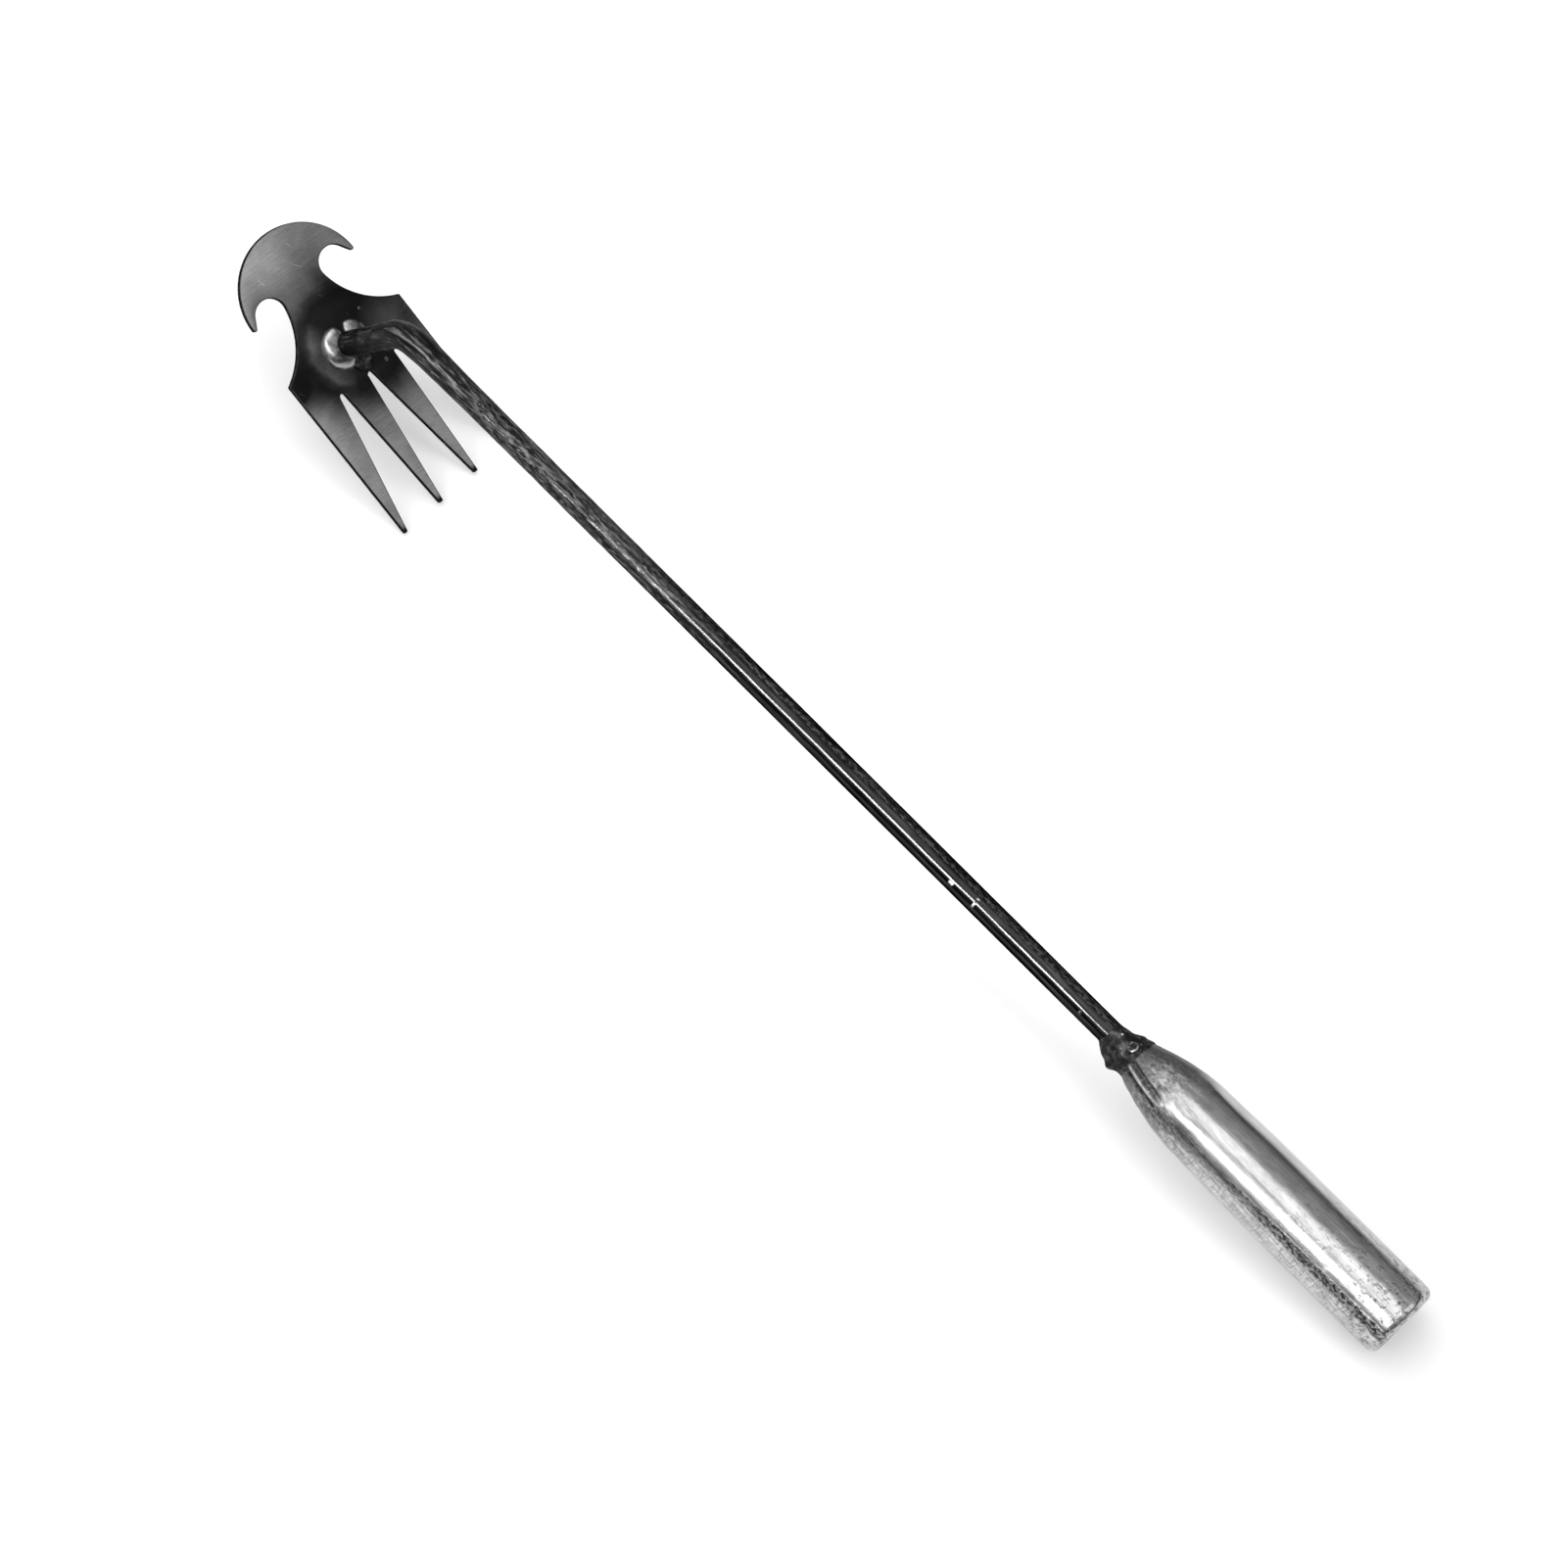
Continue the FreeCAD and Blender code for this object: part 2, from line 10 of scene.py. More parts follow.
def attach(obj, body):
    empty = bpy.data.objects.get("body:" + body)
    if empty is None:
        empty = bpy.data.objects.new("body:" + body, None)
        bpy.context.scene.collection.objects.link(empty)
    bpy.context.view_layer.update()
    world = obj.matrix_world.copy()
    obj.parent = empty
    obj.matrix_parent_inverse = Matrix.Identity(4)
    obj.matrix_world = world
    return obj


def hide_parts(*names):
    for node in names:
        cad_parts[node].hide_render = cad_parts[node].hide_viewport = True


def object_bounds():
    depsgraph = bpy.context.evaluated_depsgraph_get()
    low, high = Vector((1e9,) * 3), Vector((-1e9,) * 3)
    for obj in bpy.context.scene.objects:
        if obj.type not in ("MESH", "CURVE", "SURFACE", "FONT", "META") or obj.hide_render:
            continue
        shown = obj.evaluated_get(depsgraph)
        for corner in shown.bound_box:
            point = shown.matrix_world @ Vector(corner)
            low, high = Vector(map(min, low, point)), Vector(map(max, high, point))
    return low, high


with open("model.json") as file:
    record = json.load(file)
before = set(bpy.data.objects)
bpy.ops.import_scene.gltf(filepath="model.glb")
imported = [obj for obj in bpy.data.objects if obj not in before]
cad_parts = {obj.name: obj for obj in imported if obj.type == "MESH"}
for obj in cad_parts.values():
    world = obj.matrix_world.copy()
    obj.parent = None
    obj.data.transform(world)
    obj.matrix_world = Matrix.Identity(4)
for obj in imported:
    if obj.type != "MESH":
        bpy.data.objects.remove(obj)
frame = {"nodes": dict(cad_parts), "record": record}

# A welded hand cultivator on a plain white table. Two frames are found from the CAD model: the head
# frame has its origin where the rod meets the head, X towards the tine tips and Z out of the head's
# upper face, and the socket frame has its origin at the nose of the handle socket and X towards its
# mouth. Inside both, lengths are in millimetres. Angles round the rod and the socket start at their
# upper side and run towards -Y.

MM = 0.001
CAD_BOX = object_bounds()

SIZES = {
    # head
    "edge_break": 0.34,
    # rod, from its foot up the neck, over the bend and straight on
    "rod_radius": 5.0,
    "neck_straight": 56.5,
    "bend_radius": 18.0,
    "bend_turn": math.radians(66.1),
    "rod_straight": 411.8,
    "bend_swelling": 0.6,
    "swelling_past_neck": 8.0,
    "swelling_width": 26.0,
    # handle socket, from the tip of its nose to its mouth
    "nose_length": 31.5,
    "nose_tip_radius": 7.9,
    "nose_bulge": 1.3,
    "nose_hole_radius": 5.2,
    "nose_hole_length": 8.0,
    "socket_neck_radius": 15.2,
    "socket_radius": 15.9,
    "socket_bore": 13.4,
    "socket_length": 138.5,
    "rim_rounding": 4.0,
    "bore_length": 98.0,
    "slit_length": 19.0,
    "slit_angle": math.radians(55),
    # weld collar, before the nose and over it
    "collar_length": 14.0,
    "collar_overlap": 5.0,
    "collar_radius": 7.0,
}

BEND_END = SIZES["neck_straight"] + SIZES["bend_radius"] * SIZES["bend_turn"]
ROD_LENGTH = BEND_END + SIZES["rod_straight"]

# Distance from the rod's foot up to which its heat marks are full, and where they are gone.
FORGED_REACH = (150, 240)

# Weld beads round the rod's foot, in degrees from the tine side: start, span, leg, rise, roughness.
HEAD_BEADS = {
    "head_weld_front": (174, 182, 5.8, 4.3, 0.16),
    "head_weld_top": (68, 92, 5.3, 3.2, 0.26),
    "head_weld_rear": (-28, 96, 7.6, 4.2, 1.0),
}

# Lumps of the socket's weld collar: place along X, degrees round the rod, height, width.
COLLAR_LUMPS = [
    (-9.0, 112, 1.2, 3.0),
    (-4.4, 106, 2.7, 2.5),
    (-10.4, 62, 0.6, 2.2),
    (-4.8, 34, 0.4, 2.4),
    (-1.2, 6, 0.9, 2.2),
    (-3.6, -84, 0.9, 1.8),
    (-5.0, 180, 0.6, 3.4),
]

# Bubble that burst in the collar's upper side: place along X, degrees round the rod, radius of its rim,
# and how far from the rod's centre line it lies.
BURST_BUBBLE = (-2.6, 2, 1.9)
BUBBLE_REACH = 8.0

# Creases left by the hammer where the tube was closed down: degrees round the nose, depth, width.
NOSE_CREASES = [
    (-38, 0.30, 1.8),
    (-14, 0.24, 1.4),
    (14, 0.26, 1.8),
    (96, 0.35, 2.2),
    (150, 0.30, 3.0),
    (-110, 0.30, 3.0),
]

# The folded slit, across its length: depth of the narrow cut, then place, width and height of the lip on
# its upper side, and of the hollow beyond the lip.
SLIT_CUT = 2.8
SLIT_LIP = (-1.9, 0.85, 0.8)
SLIT_HOLLOW = (-4.0, 1.0, 0.7)

# Weld droplets on the rod: distance from its foot, degrees round it, radius.
ROD_DROPLETS = [(106.6, 12, 0.9), (371.6, 20, 0.5), (427.6, 48, 0.7)]

# Weld droplets on the head: along X, along Y, radius.
HEAD_DROPLETS = [(14.6, 8.9, 0.9), (-7.4, 12.8, 0.6)]

# Rings along each swept mesh, points round each ring, and steps over the stretches of a profile.
BEAD_RINGS_PER_DEGREE = 1.2
BEAD_CROWN_STEPS = 16
ROD_RINGS = 520
ROD_SIDES = 72
SOCKET_SIDES = 176
NOSE_STEPS = 65
TUBE_STEPS = 130
RIM_STEPS = 12
BORE_STEPS = 40
BORE_END_STEPS = 12
COLLAR_RINGS = 66
COLLAR_SIDES = 110
DROP_RINGS = 14
DROP_SIDES = 28


# ---- frames ----


def local_frame(origin, x_axis, z_axis):
    """Matrix from millimetres in a local frame to metres in the row frame."""
    x_axis = x_axis.normalized()
    z_axis = z_axis.normalized()
    turn = Matrix((x_axis, z_axis.cross(x_axis), z_axis)).transposed().to_4x4()
    return Matrix.Translation(origin) @ turn @ Matrix.Scale(MM, 4)


def head_frame():
    """The head's upper face gives the normal, and the lowest ring of the rod gives the foot."""
    plate = frame["nodes"]["head_plate"].data
    upward = [face for face in plate.polygons if face.normal.z > 0.7]
    normal = sum((face.normal * face.area for face in upward), Vector()).normalized()
    corners = [vertex.co for vertex in frame["nodes"]["neck_rod"].data.vertices]
    lowest = min(corner.dot(normal) for corner in corners)
    ring = [corner for corner in corners if corner.dot(normal) < lowest + 0.1 * MM]
    foot = sum(ring, Vector()) / len(ring)
    return local_frame(foot, Vector((0, 1, 0)).cross(normal), normal)


def socket_frame():
    """The bore's record gives the socket's axis and how far back its nose is."""
    bore = frame["record"]["mounts"][0]
    axis = Vector(bore["axis"])
    nose_to_middle = mouth_place() - SIZES["bore_length"] / 2
    origin = Vector(bore["pos_m"]) - axis * nose_to_middle * MM
    return local_frame(origin, axis, axis.cross(Vector((0, 1, 0))))


def rim_turn():
    """Angle on the rim's rounding at which it meets the bore."""
    centre = SIZES["socket_radius"] - SIZES["rim_rounding"]
    return math.asin((SIZES["socket_bore"] - centre) / SIZES["rim_rounding"])


def mouth_place():
    """Where the bore opens, along the socket."""
    centre = SIZES["socket_length"] - SIZES["rim_rounding"]
    return centre + SIZES["rim_rounding"] * math.cos(rim_turn())


# ---- meshes ----


def smooth_step(value, start, end):
    share = min(max((value - start) / (end - start), 0), 1)
    return share * share * (3 - 2 * share)


def bell(distance, width):
    return math.exp(-((distance / width) ** 2))


def wrap(angle):
    """The same angle between -pi and pi."""
    return (angle + math.pi) % (2 * math.pi) - math.pi


def cloud(x, y, z, size, seed=0):
    """Smooth random value from about -1 to 1 that changes over the given size."""
    return noise.noise(Vector((x / size + 17.3 * seed, y / size - 9.1 * seed, z / size + 4.7 * seed)))


def grid_faces(rows, columns, closed):
    """Quads between rings of points. Open ends get a cap, and closed rings join the last to the first."""
    faces = []
    for row in range(rows if closed else rows - 1):
        for column in range(columns):
            first = row * columns
            second = ((row + 1) % rows) * columns
            beside = (column + 1) % columns
            faces.append((first + column, first + beside, second + beside, second + column))
    if not closed:
        faces.append(tuple(range(columns)))
        faces.append(tuple(range((rows - 1) * columns, rows * columns)))
    return faces


def add_piece(name, points, faces, matrix, places, material, stands_for):
    """A smooth closed mesh, with each point's own place on the part kept for the materials."""
    mesh = bpy.data.meshes.new(name)
    mesh.from_pydata([matrix @ Vector(point) for point in points], [], faces)
    shape = bmesh.new()
    shape.from_mesh(mesh)
    bmesh.ops.recalc_face_normals(shape, faces=shape.faces)
    shape.to_mesh(mesh)
    shape.free()
    mesh.polygons.foreach_set("use_smooth", [True] * len(mesh.polygons))
    mesh.set_sharp_from_angle(angle=math.radians(50))
    keep_places(mesh, places)
    mesh.materials.append(material)
    piece = add_object(name, mesh)
    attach(piece, "root")
    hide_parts(stands_for)


def add_object(name, data):
    added = bpy.data.objects.new(name, data)
    bpy.context.scene.collection.objects.link(added)
    return added


def keep_places(mesh, places):
    attribute = mesh.attributes.new("place", "FLOAT_VECTOR", "POINT")
    attribute.data.foreach_set("vector", np.asarray(places, np.float32).ravel())


# ---- head ----


def add_head_plate(matrix, face_material, edge_material):
    """The cut sheet with its edges broken, and its cut sides apart from its ground faces."""
    normal = matrix.to_3x3().col[2].normalized()
    shape = bmesh.new()
    shape.from_mesh(frame["nodes"]["head_plate"].data)
    bmesh.ops.remove_doubles(shape, verts=shape.verts, dist=2e-6)
    bmesh.ops.dissolve_limit(shape, angle_limit=math.radians(0.5), verts=shape.verts, edges=shape.edges)
    sharp = [edge for edge in shape.edges if edge.calc_face_angle(0) > math.radians(40)]
    bmesh.ops.bevel(shape, geom=sharp, offset=SIZES["edge_break"] * MM, segments=2, profile=0.5,
                    affect="EDGES", clamp_overlap=True)
    for face in shape.faces:
        face.smooth = True
        face.material_index = 0 if abs(face.normal.dot(normal)) > 0.995 else 1
    wide = [face for face in shape.faces if len(face.verts) > 4]
    bmesh.ops.triangulate(shape, faces=wide)
    mesh = bpy.data.meshes.new("head_plate_ground")
    shape.to_mesh(mesh)
    shape.free()
    mesh.set_sharp_from_angle(angle=math.radians(32))
    back = matrix.inverted()
    keep_places(mesh, [back @ vertex.co for vertex in mesh.vertices])
    mesh.materials.append(face_material)
    mesh.materials.append(edge_material)
    piece = add_object("head_plate_ground", mesh)
    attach(piece, "root")
    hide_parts("head_plate")


def bead_section(leg, rise):
    """Crown of a fillet from the head up to the rod, closed inside both of them."""
    radius = SIZES["rod_radius"]
    inside = radius - 1.0
    below = -0.6
    section = []
    for step in range(BEAD_CROWN_STEPS + 1):
        turn = math.pi / 2 * step / BEAD_CROWN_STEPS
        section.append((radius + leg * math.cos(turn) ** 1.15, rise * math.sin(turn) ** 1.15))
    section.append((inside, rise * 0.8))
    section.append((inside, below))
    section.append((radius + leg * 0.6, below))
    return section


def bead_fullness(share, span, seed):
    """How full a bead is at a share of its run: thin at its ends, with a faint ripple and a slow swell."""
    taper = 0.16 + 0.84 * max(1 - abs(2 * share - 1) ** 3.4, 0.0) ** 0.5
    run = share * math.radians(span) * SIZES["rod_radius"] * 1.7
    ripple = 0.0015 * math.cos(run * 2 * math.pi / 1.6)
    swell = 0.04 * math.cos(3 * math.pi * share + seed)
    return taper * (1 + ripple + swell)


def add_head_bead(name, matrix, material, seed):
    """A weld bead laid round the foot, uneven on its outer side only."""
    start, span, leg, rise, lumps = HEAD_BEADS[name]
    rows = int(span * BEAD_RINGS_PER_DEGREE)
    points = []
    for row in range(rows):
        share = row / (rows - 1)
        turn = math.radians(start + span * share)
        fullness = bead_fullness(share, span, seed)
        for radius, height in bead_section(leg * fullness, rise * fullness):
            if radius > SIZES["rod_radius"] - 0.5 and height > -0.3:
                x = radius * math.cos(turn)
                y = radius * math.sin(turn)
                push = lumps * (cloud(x, y, height, 3.4, seed) + 0.18 * cloud(x, y, height, 1.3, seed))
                radius += push
                height = max(height + 0.7 * push, -0.2)
            points.append((radius * math.cos(turn), radius * math.sin(turn), height))
    columns = len(bead_section(leg, rise))
    faces = grid_faces(rows, columns, closed=False)
    add_piece(name + "_bead", points, faces, matrix, points, material, name)


# ---- rod ----


def rod_place(distance, angle, radius):
    """Point on the rod: up the neck, over the bend and along the straight, in the head frame."""
    bend = SIZES["bend_radius"]
    turn = min(max(distance - SIZES["neck_straight"], 0) / bend, SIZES["bend_turn"])
    before = min(distance, SIZES["neck_straight"])
    beyond = max(distance - BEND_END, 0)
    x = bend * (1 - math.cos(turn)) + beyond * math.sin(turn)
    z = before + bend * math.sin(turn) + beyond * math.cos(turn)
    out = radius * math.cos(angle)
    return (x - out * math.cos(turn), -radius * math.sin(angle), z + out * math.sin(turn))


def forged_share(distance):
    """How much the heat of welding and bending marked the rod here."""
    return 1 - smooth_step(distance, *FORGED_REACH)


def rod_surface(distance, angle):
    """Radius of the bar, with long drawn ripples and scale marks where it was heated and bent."""
    radius = SIZES["rod_radius"]
    y = radius * math.cos(angle)
    z = radius * math.sin(angle)
    long_ripple = cloud(distance / 26, y / 3, z / 3, 1.0, 1)
    scale_mark = cloud(distance / 7, y / 1.7, z / 1.7, 1.0, 2)
    from_swelling = distance - SIZES["neck_straight"] - SIZES["swelling_past_neck"]
    swelling = SIZES["bend_swelling"] * bell(from_swelling, SIZES["swelling_width"])
    ripples = 0.03 * long_ripple + (0.012 + 0.10 * forged_share(distance)) * scale_mark
    return radius + swelling + ripples


def add_rod(matrix, material):
    bar = SIZES["rod_radius"]
    points = []
    places = []
    for row in range(ROD_RINGS):
        distance = ROD_LENGTH * row / (ROD_RINGS - 1)
        for column in range(ROD_SIDES):
            angle = 2 * math.pi * column / ROD_SIDES
            points.append(rod_place(distance, angle, rod_surface(distance, angle)))
            places.append((distance, bar * math.cos(angle), bar * math.sin(angle)))
    faces = grid_faces(ROD_RINGS, ROD_SIDES, closed=False)
    add_piece("neck_rod_bar", points, faces, matrix, places, material, "neck_rod")


# ---- handle socket ----


def even_shares(steps, first=1):
    """Shares of a stretch up to its end, evenly spaced, from its start if first is 0."""
    return [step / steps for step in range(first, steps + 1)]


def outer_profile():
    """The tube's outer side: the nose, which bulges a little, then the tube up to its rim."""
    tip = Vector((0, SIZES["nose_tip_radius"]))
    neck = Vector((SIZES["nose_length"], SIZES["socket_neck_radius"]))
    outward = Vector((tip.y - neck.y, neck.x - tip.x)).normalized()
    profile = []
    for share in even_shares(NOSE_STEPS, first=0):
        point = tip.lerp(neck, share) + outward * SIZES["nose_bulge"] * 4 * share * (1 - share)
        profile.append((point.x, point.y, 1.0))
    rim_start = SIZES["socket_length"] - SIZES["rim_rounding"]
    for share in even_shares(TUBE_STEPS):
        along = neck.x + (rim_start - neck.x) * share
        radius = neck.y + (SIZES["socket_radius"] - neck.y) * smooth_step(share, 0.0, 0.35)
        profile.append((along, radius, 1.0))
    return profile


def rim_profile():
    """The rounded rim, from the tube's outer side round into the bore."""
    centre = SIZES["socket_length"] - SIZES["rim_rounding"]
    profile = []
    for share in even_shares(RIM_STEPS):
        turn = math.pi / 2 + (rim_turn() - math.pi / 2) * share
        along = centre + SIZES["rim_rounding"] * math.cos(turn)
        radius = SIZES["socket_radius"] - SIZES["rim_rounding"] * (1 - math.sin(turn))
        profile.append((along, radius, 1 - share))
    return profile


def bore_profile():
    """The bore back from the mouth, its tapered end, and the hole through the nose."""
    bore = SIZES["socket_bore"]
    bore_end = mouth_place() - SIZES["bore_length"]
    profile = []
    for share in even_shares(BORE_STEPS):
        profile.append((mouth_place() - SIZES["bore_length"] * share, bore, 0.0))
    for share in even_shares(BORE_END_STEPS):
        along = bore_end + (SIZES["nose_hole_length"] - bore_end) * share
        profile.append((along, bore + (SIZES["nose_hole_radius"] - bore) * share, 0.0))
    profile.append((0.0, SIZES["nose_hole_radius"], 0.0))
    return profile


def slit_depth(along, across):
    """The folded slit: a narrow cut, a raised lip on its upper side and a hollow beyond the lip."""
    end = 1 - smooth_step(along, SIZES["slit_length"] - 3, SIZES["slit_length"] + 1)
    middle = smooth_step(along, 0.5, 3) * (1 - smooth_step(along, 15, 22))
    lip_place, lip_width, lip_height = SLIT_LIP
    hollow_place, hollow_width, hollow_depth = SLIT_HOLLOW
    cut = SLIT_CUT * (1 - smooth_step(abs(across), 0.35, 0.95)) * end
    lip = lip_height * bell(across - lip_place, lip_width) * middle
    hollow = hollow_depth * bell(across - hollow_place, hollow_width) * middle
    return cut - lip + hollow


def socket_surface(along, radius, angle):
    """How far the tube's outer side stands off its profile."""
    forged = 1 - smooth_step(along, 16, 44)
    push = 0.0
    for place, depth, width in NOSE_CREASES:
        across = wrap(angle - math.radians(place)) * radius
        push -= depth * bell(across - 0.05 * along, width) * forged * smooth_step(along, 2, 12)
    y = radius * math.cos(angle)
    z = radius * math.sin(angle)
    push += 0.26 * forged * cloud(along, y, z, 5.5, 3)
    push += 0.07 * forged * cloud(along, y, z, 1.6, 4)
    push += 0.035 * cloud(along, y, z, 14, 5)
    worn = smooth_step(along, 96, 132)
    push -= 0.10 * worn * max(cloud(along, y, z, 2.6, 6), 0)
    across = wrap(angle - SIZES["slit_angle"]) * radius
    return push - slit_depth(along, across)


def add_socket(matrix, material):
    """The tube as rings along its closed profile, with more points round it near the slit."""
    profile = outer_profile() + rim_profile() + bore_profile()
    points = []
    places = []
    for along, radius, outer in profile:
        for column in range(SOCKET_SIDES):
            even = 2 * math.pi * column / SOCKET_SIDES
            angle = even - 0.55 * math.sin(even - SIZES["slit_angle"])
            bumpy = radius + outer * socket_surface(along, radius, angle)
            points.append((along, -bumpy * math.sin(angle), bumpy * math.cos(angle)))
            places.append((along, radius * math.cos(angle), radius * math.sin(angle)))
    faces = grid_faces(len(profile), SOCKET_SIDES, closed=True)
    add_piece("handle_tube_forged", points, faces, matrix, places, material, "handle_tube")


def collar_body(along, angle):
    """Radius of the collar without lumps: it rises from the rod, less on one side, and sinks at the nose."""
    rise = 2.7 * smooth_step(along, -SIZES["collar_length"] - 1, -6.5) + 0.30 * max(along + 4, 0)
    sink = 1.9 * smooth_step(along, 0.5, SIZES["collar_overlap"])
    flush = 0.75 * bell(wrap(angle + math.pi / 2), 0.9) * (1 - smooth_step(along, -7, -2))
    return SIZES["rod_radius"] - 0.4 + rise * (1 - flush) - sink


def collar_marks(along, angle):
    """Height of the collar's lumps, and of the rim and hollow of its burst bubble."""
    push = 0.0
    for place, turn, height, width in COLLAR_LUMPS:
        across = wrap(angle - math.radians(turn)) * SIZES["collar_radius"]
        push += height * math.exp(-((along - place) ** 2 + across ** 2) / width ** 2)
    place, turn, radius = BURST_BUBBLE
    from_bubble = math.hypot(along - place, wrap(angle - math.radians(turn)) * BUBBLE_REACH)
    return push + 0.6 * bell(from_bubble - radius, 0.6) - 0.4 * bell(from_bubble, 0.9)


def add_collar(matrix, material):
    """Lumpy weld metal that closes the nose onto the rod and runs out over the nose."""
    length = SIZES["collar_length"]
    points = []
    for row in range(COLLAR_RINGS):
        share = row / (COLLAR_RINGS - 1)
        along = -length + (length + SIZES["collar_overlap"]) * share
        fade = smooth_step(share, 0.0, 0.12) * (1 - 0.6 * smooth_step(share, 0.8, 1.0))
        for column in range(COLLAR_SIDES):
            angle = 2 * math.pi * column / COLLAR_SIDES
            radius = collar_body(along, angle) + collar_marks(along, angle)
            y = radius * math.cos(angle)
            z = radius * math.sin(angle)
            radius += fade * (0.5 * cloud(along, y, z, 4.2, 7) + 0.10 * cloud(along, y, z, 1.4, 8))
            ragged = 1.2 * (1 - share) * cloud(0, y, z, 3.0, 9)
            points.append((along + ragged, -radius * math.sin(angle), radius * math.cos(angle)))
    faces = grid_faces(COLLAR_RINGS, COLLAR_SIDES, closed=False)
    add_piece("socket_weld_collar", points, faces, matrix, points, material, "socket_weld")


# ---- droplets ----


def droplet(centre, out, radius, seed):
    """A flattened drop frozen onto the steel, with a skirt that runs out round it."""
    out = Vector(out).normalized()
    side = out.orthogonal().normalized()
    other = out.cross(side)
    points = []
    for row in range(DROP_RINGS):
        share = row / (DROP_RINGS - 1)
        spread = radius * (math.sin(math.pi * 0.5 * share) + 0.35 * smooth_step(share, 0.75, 1.0))
        lift = radius * 0.8 * (math.cos(math.pi * 0.5 * share) - 0.25 * smooth_step(share, 0.8, 1.0))
        for column in range(DROP_SIDES):
            turn = 2 * math.pi * column / DROP_SIDES
            uneven = 1 + 0.22 * cloud(2 * math.cos(turn), 2 * math.sin(turn), share, 1.3, seed)
            along = side * math.cos(turn) + other * math.sin(turn)
            points.append(Vector(centre) + along * max(spread * uneven, 0.02) + out * lift)
    return points


def add_droplets(matrix, material):
    drops = []
    for distance, degrees, radius in ROD_DROPLETS:
        angle = math.radians(degrees)
        surface = Vector(rod_place(distance, angle, SIZES["rod_radius"]))
        drops.append((surface, surface - Vector(rod_place(distance, angle, 0)), radius))
    for x, y, radius in HEAD_DROPLETS:
        drops.append((Vector((x, y, 0)), Vector((0, 0, 1)), radius))
    points = []
    faces = []
    for seed, (surface, out, radius) in enumerate(drops, start=20):
        first = len(points)
        points += droplet(surface, out, radius, seed)
        for face in grid_faces(DROP_RINGS, DROP_SIDES, closed=False):
            faces.append(tuple(first + corner for corner in face))
    add_piece("weld_spatter_drops", points, faces, matrix, points, material, "weld_spatter")


# ---- material nodes ----


def add_node(tree, kind, inputs, **settings):
    """A node with its settings, and each input either linked or given a value."""
    node = tree.nodes.new(kind)
    for name, value in settings.items():
        setattr(node, name, value)
    for name, value in inputs.items():
        if isinstance(value, bpy.types.NodeSocket):
            tree.links.new(value, node.inputs[name])
        else:
            node.inputs[name].default_value = value
    return node


def place_on_part(tree):
    """The place kept in the mesh, in millimetres."""
    return add_node(tree, "ShaderNodeAttribute", {}, attribute_name="place").outputs["Vector"]


def axis_part(tree, vector, axis):
    return add_node(tree, "ShaderNodeSeparateXYZ", {"Vector": vector}).outputs[axis]


def distance_from(tree, vector, centre):
    node = add_node(tree, "ShaderNodeVectorMath", {0: vector, 1: centre}, operation="DISTANCE")
    return node.outputs["Value"]


def scaled(tree, vector, scale):
    node = add_node(tree, "ShaderNodeVectorMath", {0: vector, 1: scale}, operation="MULTIPLY")
    return node.outputs["Vector"]


def turned(tree, vector, degrees):
    inputs = {"Vector": vector, "Angle": math.radians(degrees)}
    return add_node(tree, "ShaderNodeVectorRotate", inputs, rotation_type="Z_AXIS").outputs["Vector"]


def grain(tree, vector, scale, detail=4.0, roughness=0.55, twist=0.0):
    """Smooth noise from 0 to 1. A larger scale makes it finer."""
    inputs = {"Vector": vector, "Scale": scale, "Detail": detail, "Roughness": roughness, "Distortion": twist}
    return add_node(tree, "ShaderNodeTexNoise", inputs).outputs["Fac"]


def drawn_grain(tree, place, scales, detail, roughness=0.55, twist=0.0, degrees=None):
    """Grain with a scale for each axis, along axes that may be turned round Z."""
    if degrees is not None:
        place = turned(tree, place, degrees)
    return grain(tree, scaled(tree, place, scales), 1.0, detail, roughness, twist)


def calc(tree, operation, first, second=0.0, third=0.0):
    node = add_node(tree, "ShaderNodeMath", {0: first, 1: second, 2: third}, operation=operation)
    return node.outputs["Value"]


def times(tree, first, second):
    return calc(tree, "MULTIPLY", first, second)


def over(tree, value, whole):
    """A value as a share of a whole."""
    return calc(tree, "DIVIDE", value, whole)


def ramp(tree, factor, stops):
    """Grey levels, or any other value, against a factor from 0 to 1."""
    node = add_node(tree, "ShaderNodeValToRGB", {"Fac": factor})
    points = node.color_ramp.elements
    while len(points) < len(stops):
        points.new(0.5)
    for point, (position, grey) in zip(points, stops):
        point.position = position
        point.color = (grey, grey, grey, 1)
    return node.outputs["Color"]


def band(tree, value, middle, half_width):
    """1 within four fifths of the half width from the middle, falling to 0 at six fifths of it."""
    off = calc(tree, "ABSOLUTE", calc(tree, "SUBTRACT", value, middle))
    return ramp(tree, over(tree, off, 4 * half_width), [(0.2, 1.0), (0.3, 0.0)])


def blended(tree, factor, first, second, kind="MIX"):
    node = add_node(tree, "ShaderNodeMix", {"Factor": factor}, data_type="RGBA", blend_type=kind)
    for index, value in ((6, first), (7, second)):
        if isinstance(value, bpy.types.NodeSocket):
            tree.links.new(value, node.inputs[index])
        else:
            node.inputs[index].default_value = (value, value, value, 1)
    return node.outputs[2]


def product(tree, colour, tone):
    return blended(tree, 1.0, colour, tone, "MULTIPLY")


def toned(tree, colour, factor, stops):
    """A colour made darker or brighter by a ramp."""
    return product(tree, colour, ramp(tree, factor, stops))


def bumped(tree, height, depth, below=None):
    """Surface normal for a height from 0 to 1 that stands for a depth in millimetres."""
    inputs = {"Height": height, "Distance": depth * MM, "Strength": 1.0}
    if below is not None:
        inputs["Normal"] = below
    return add_node(tree, "ShaderNodeBump", inputs).outputs["Normal"]


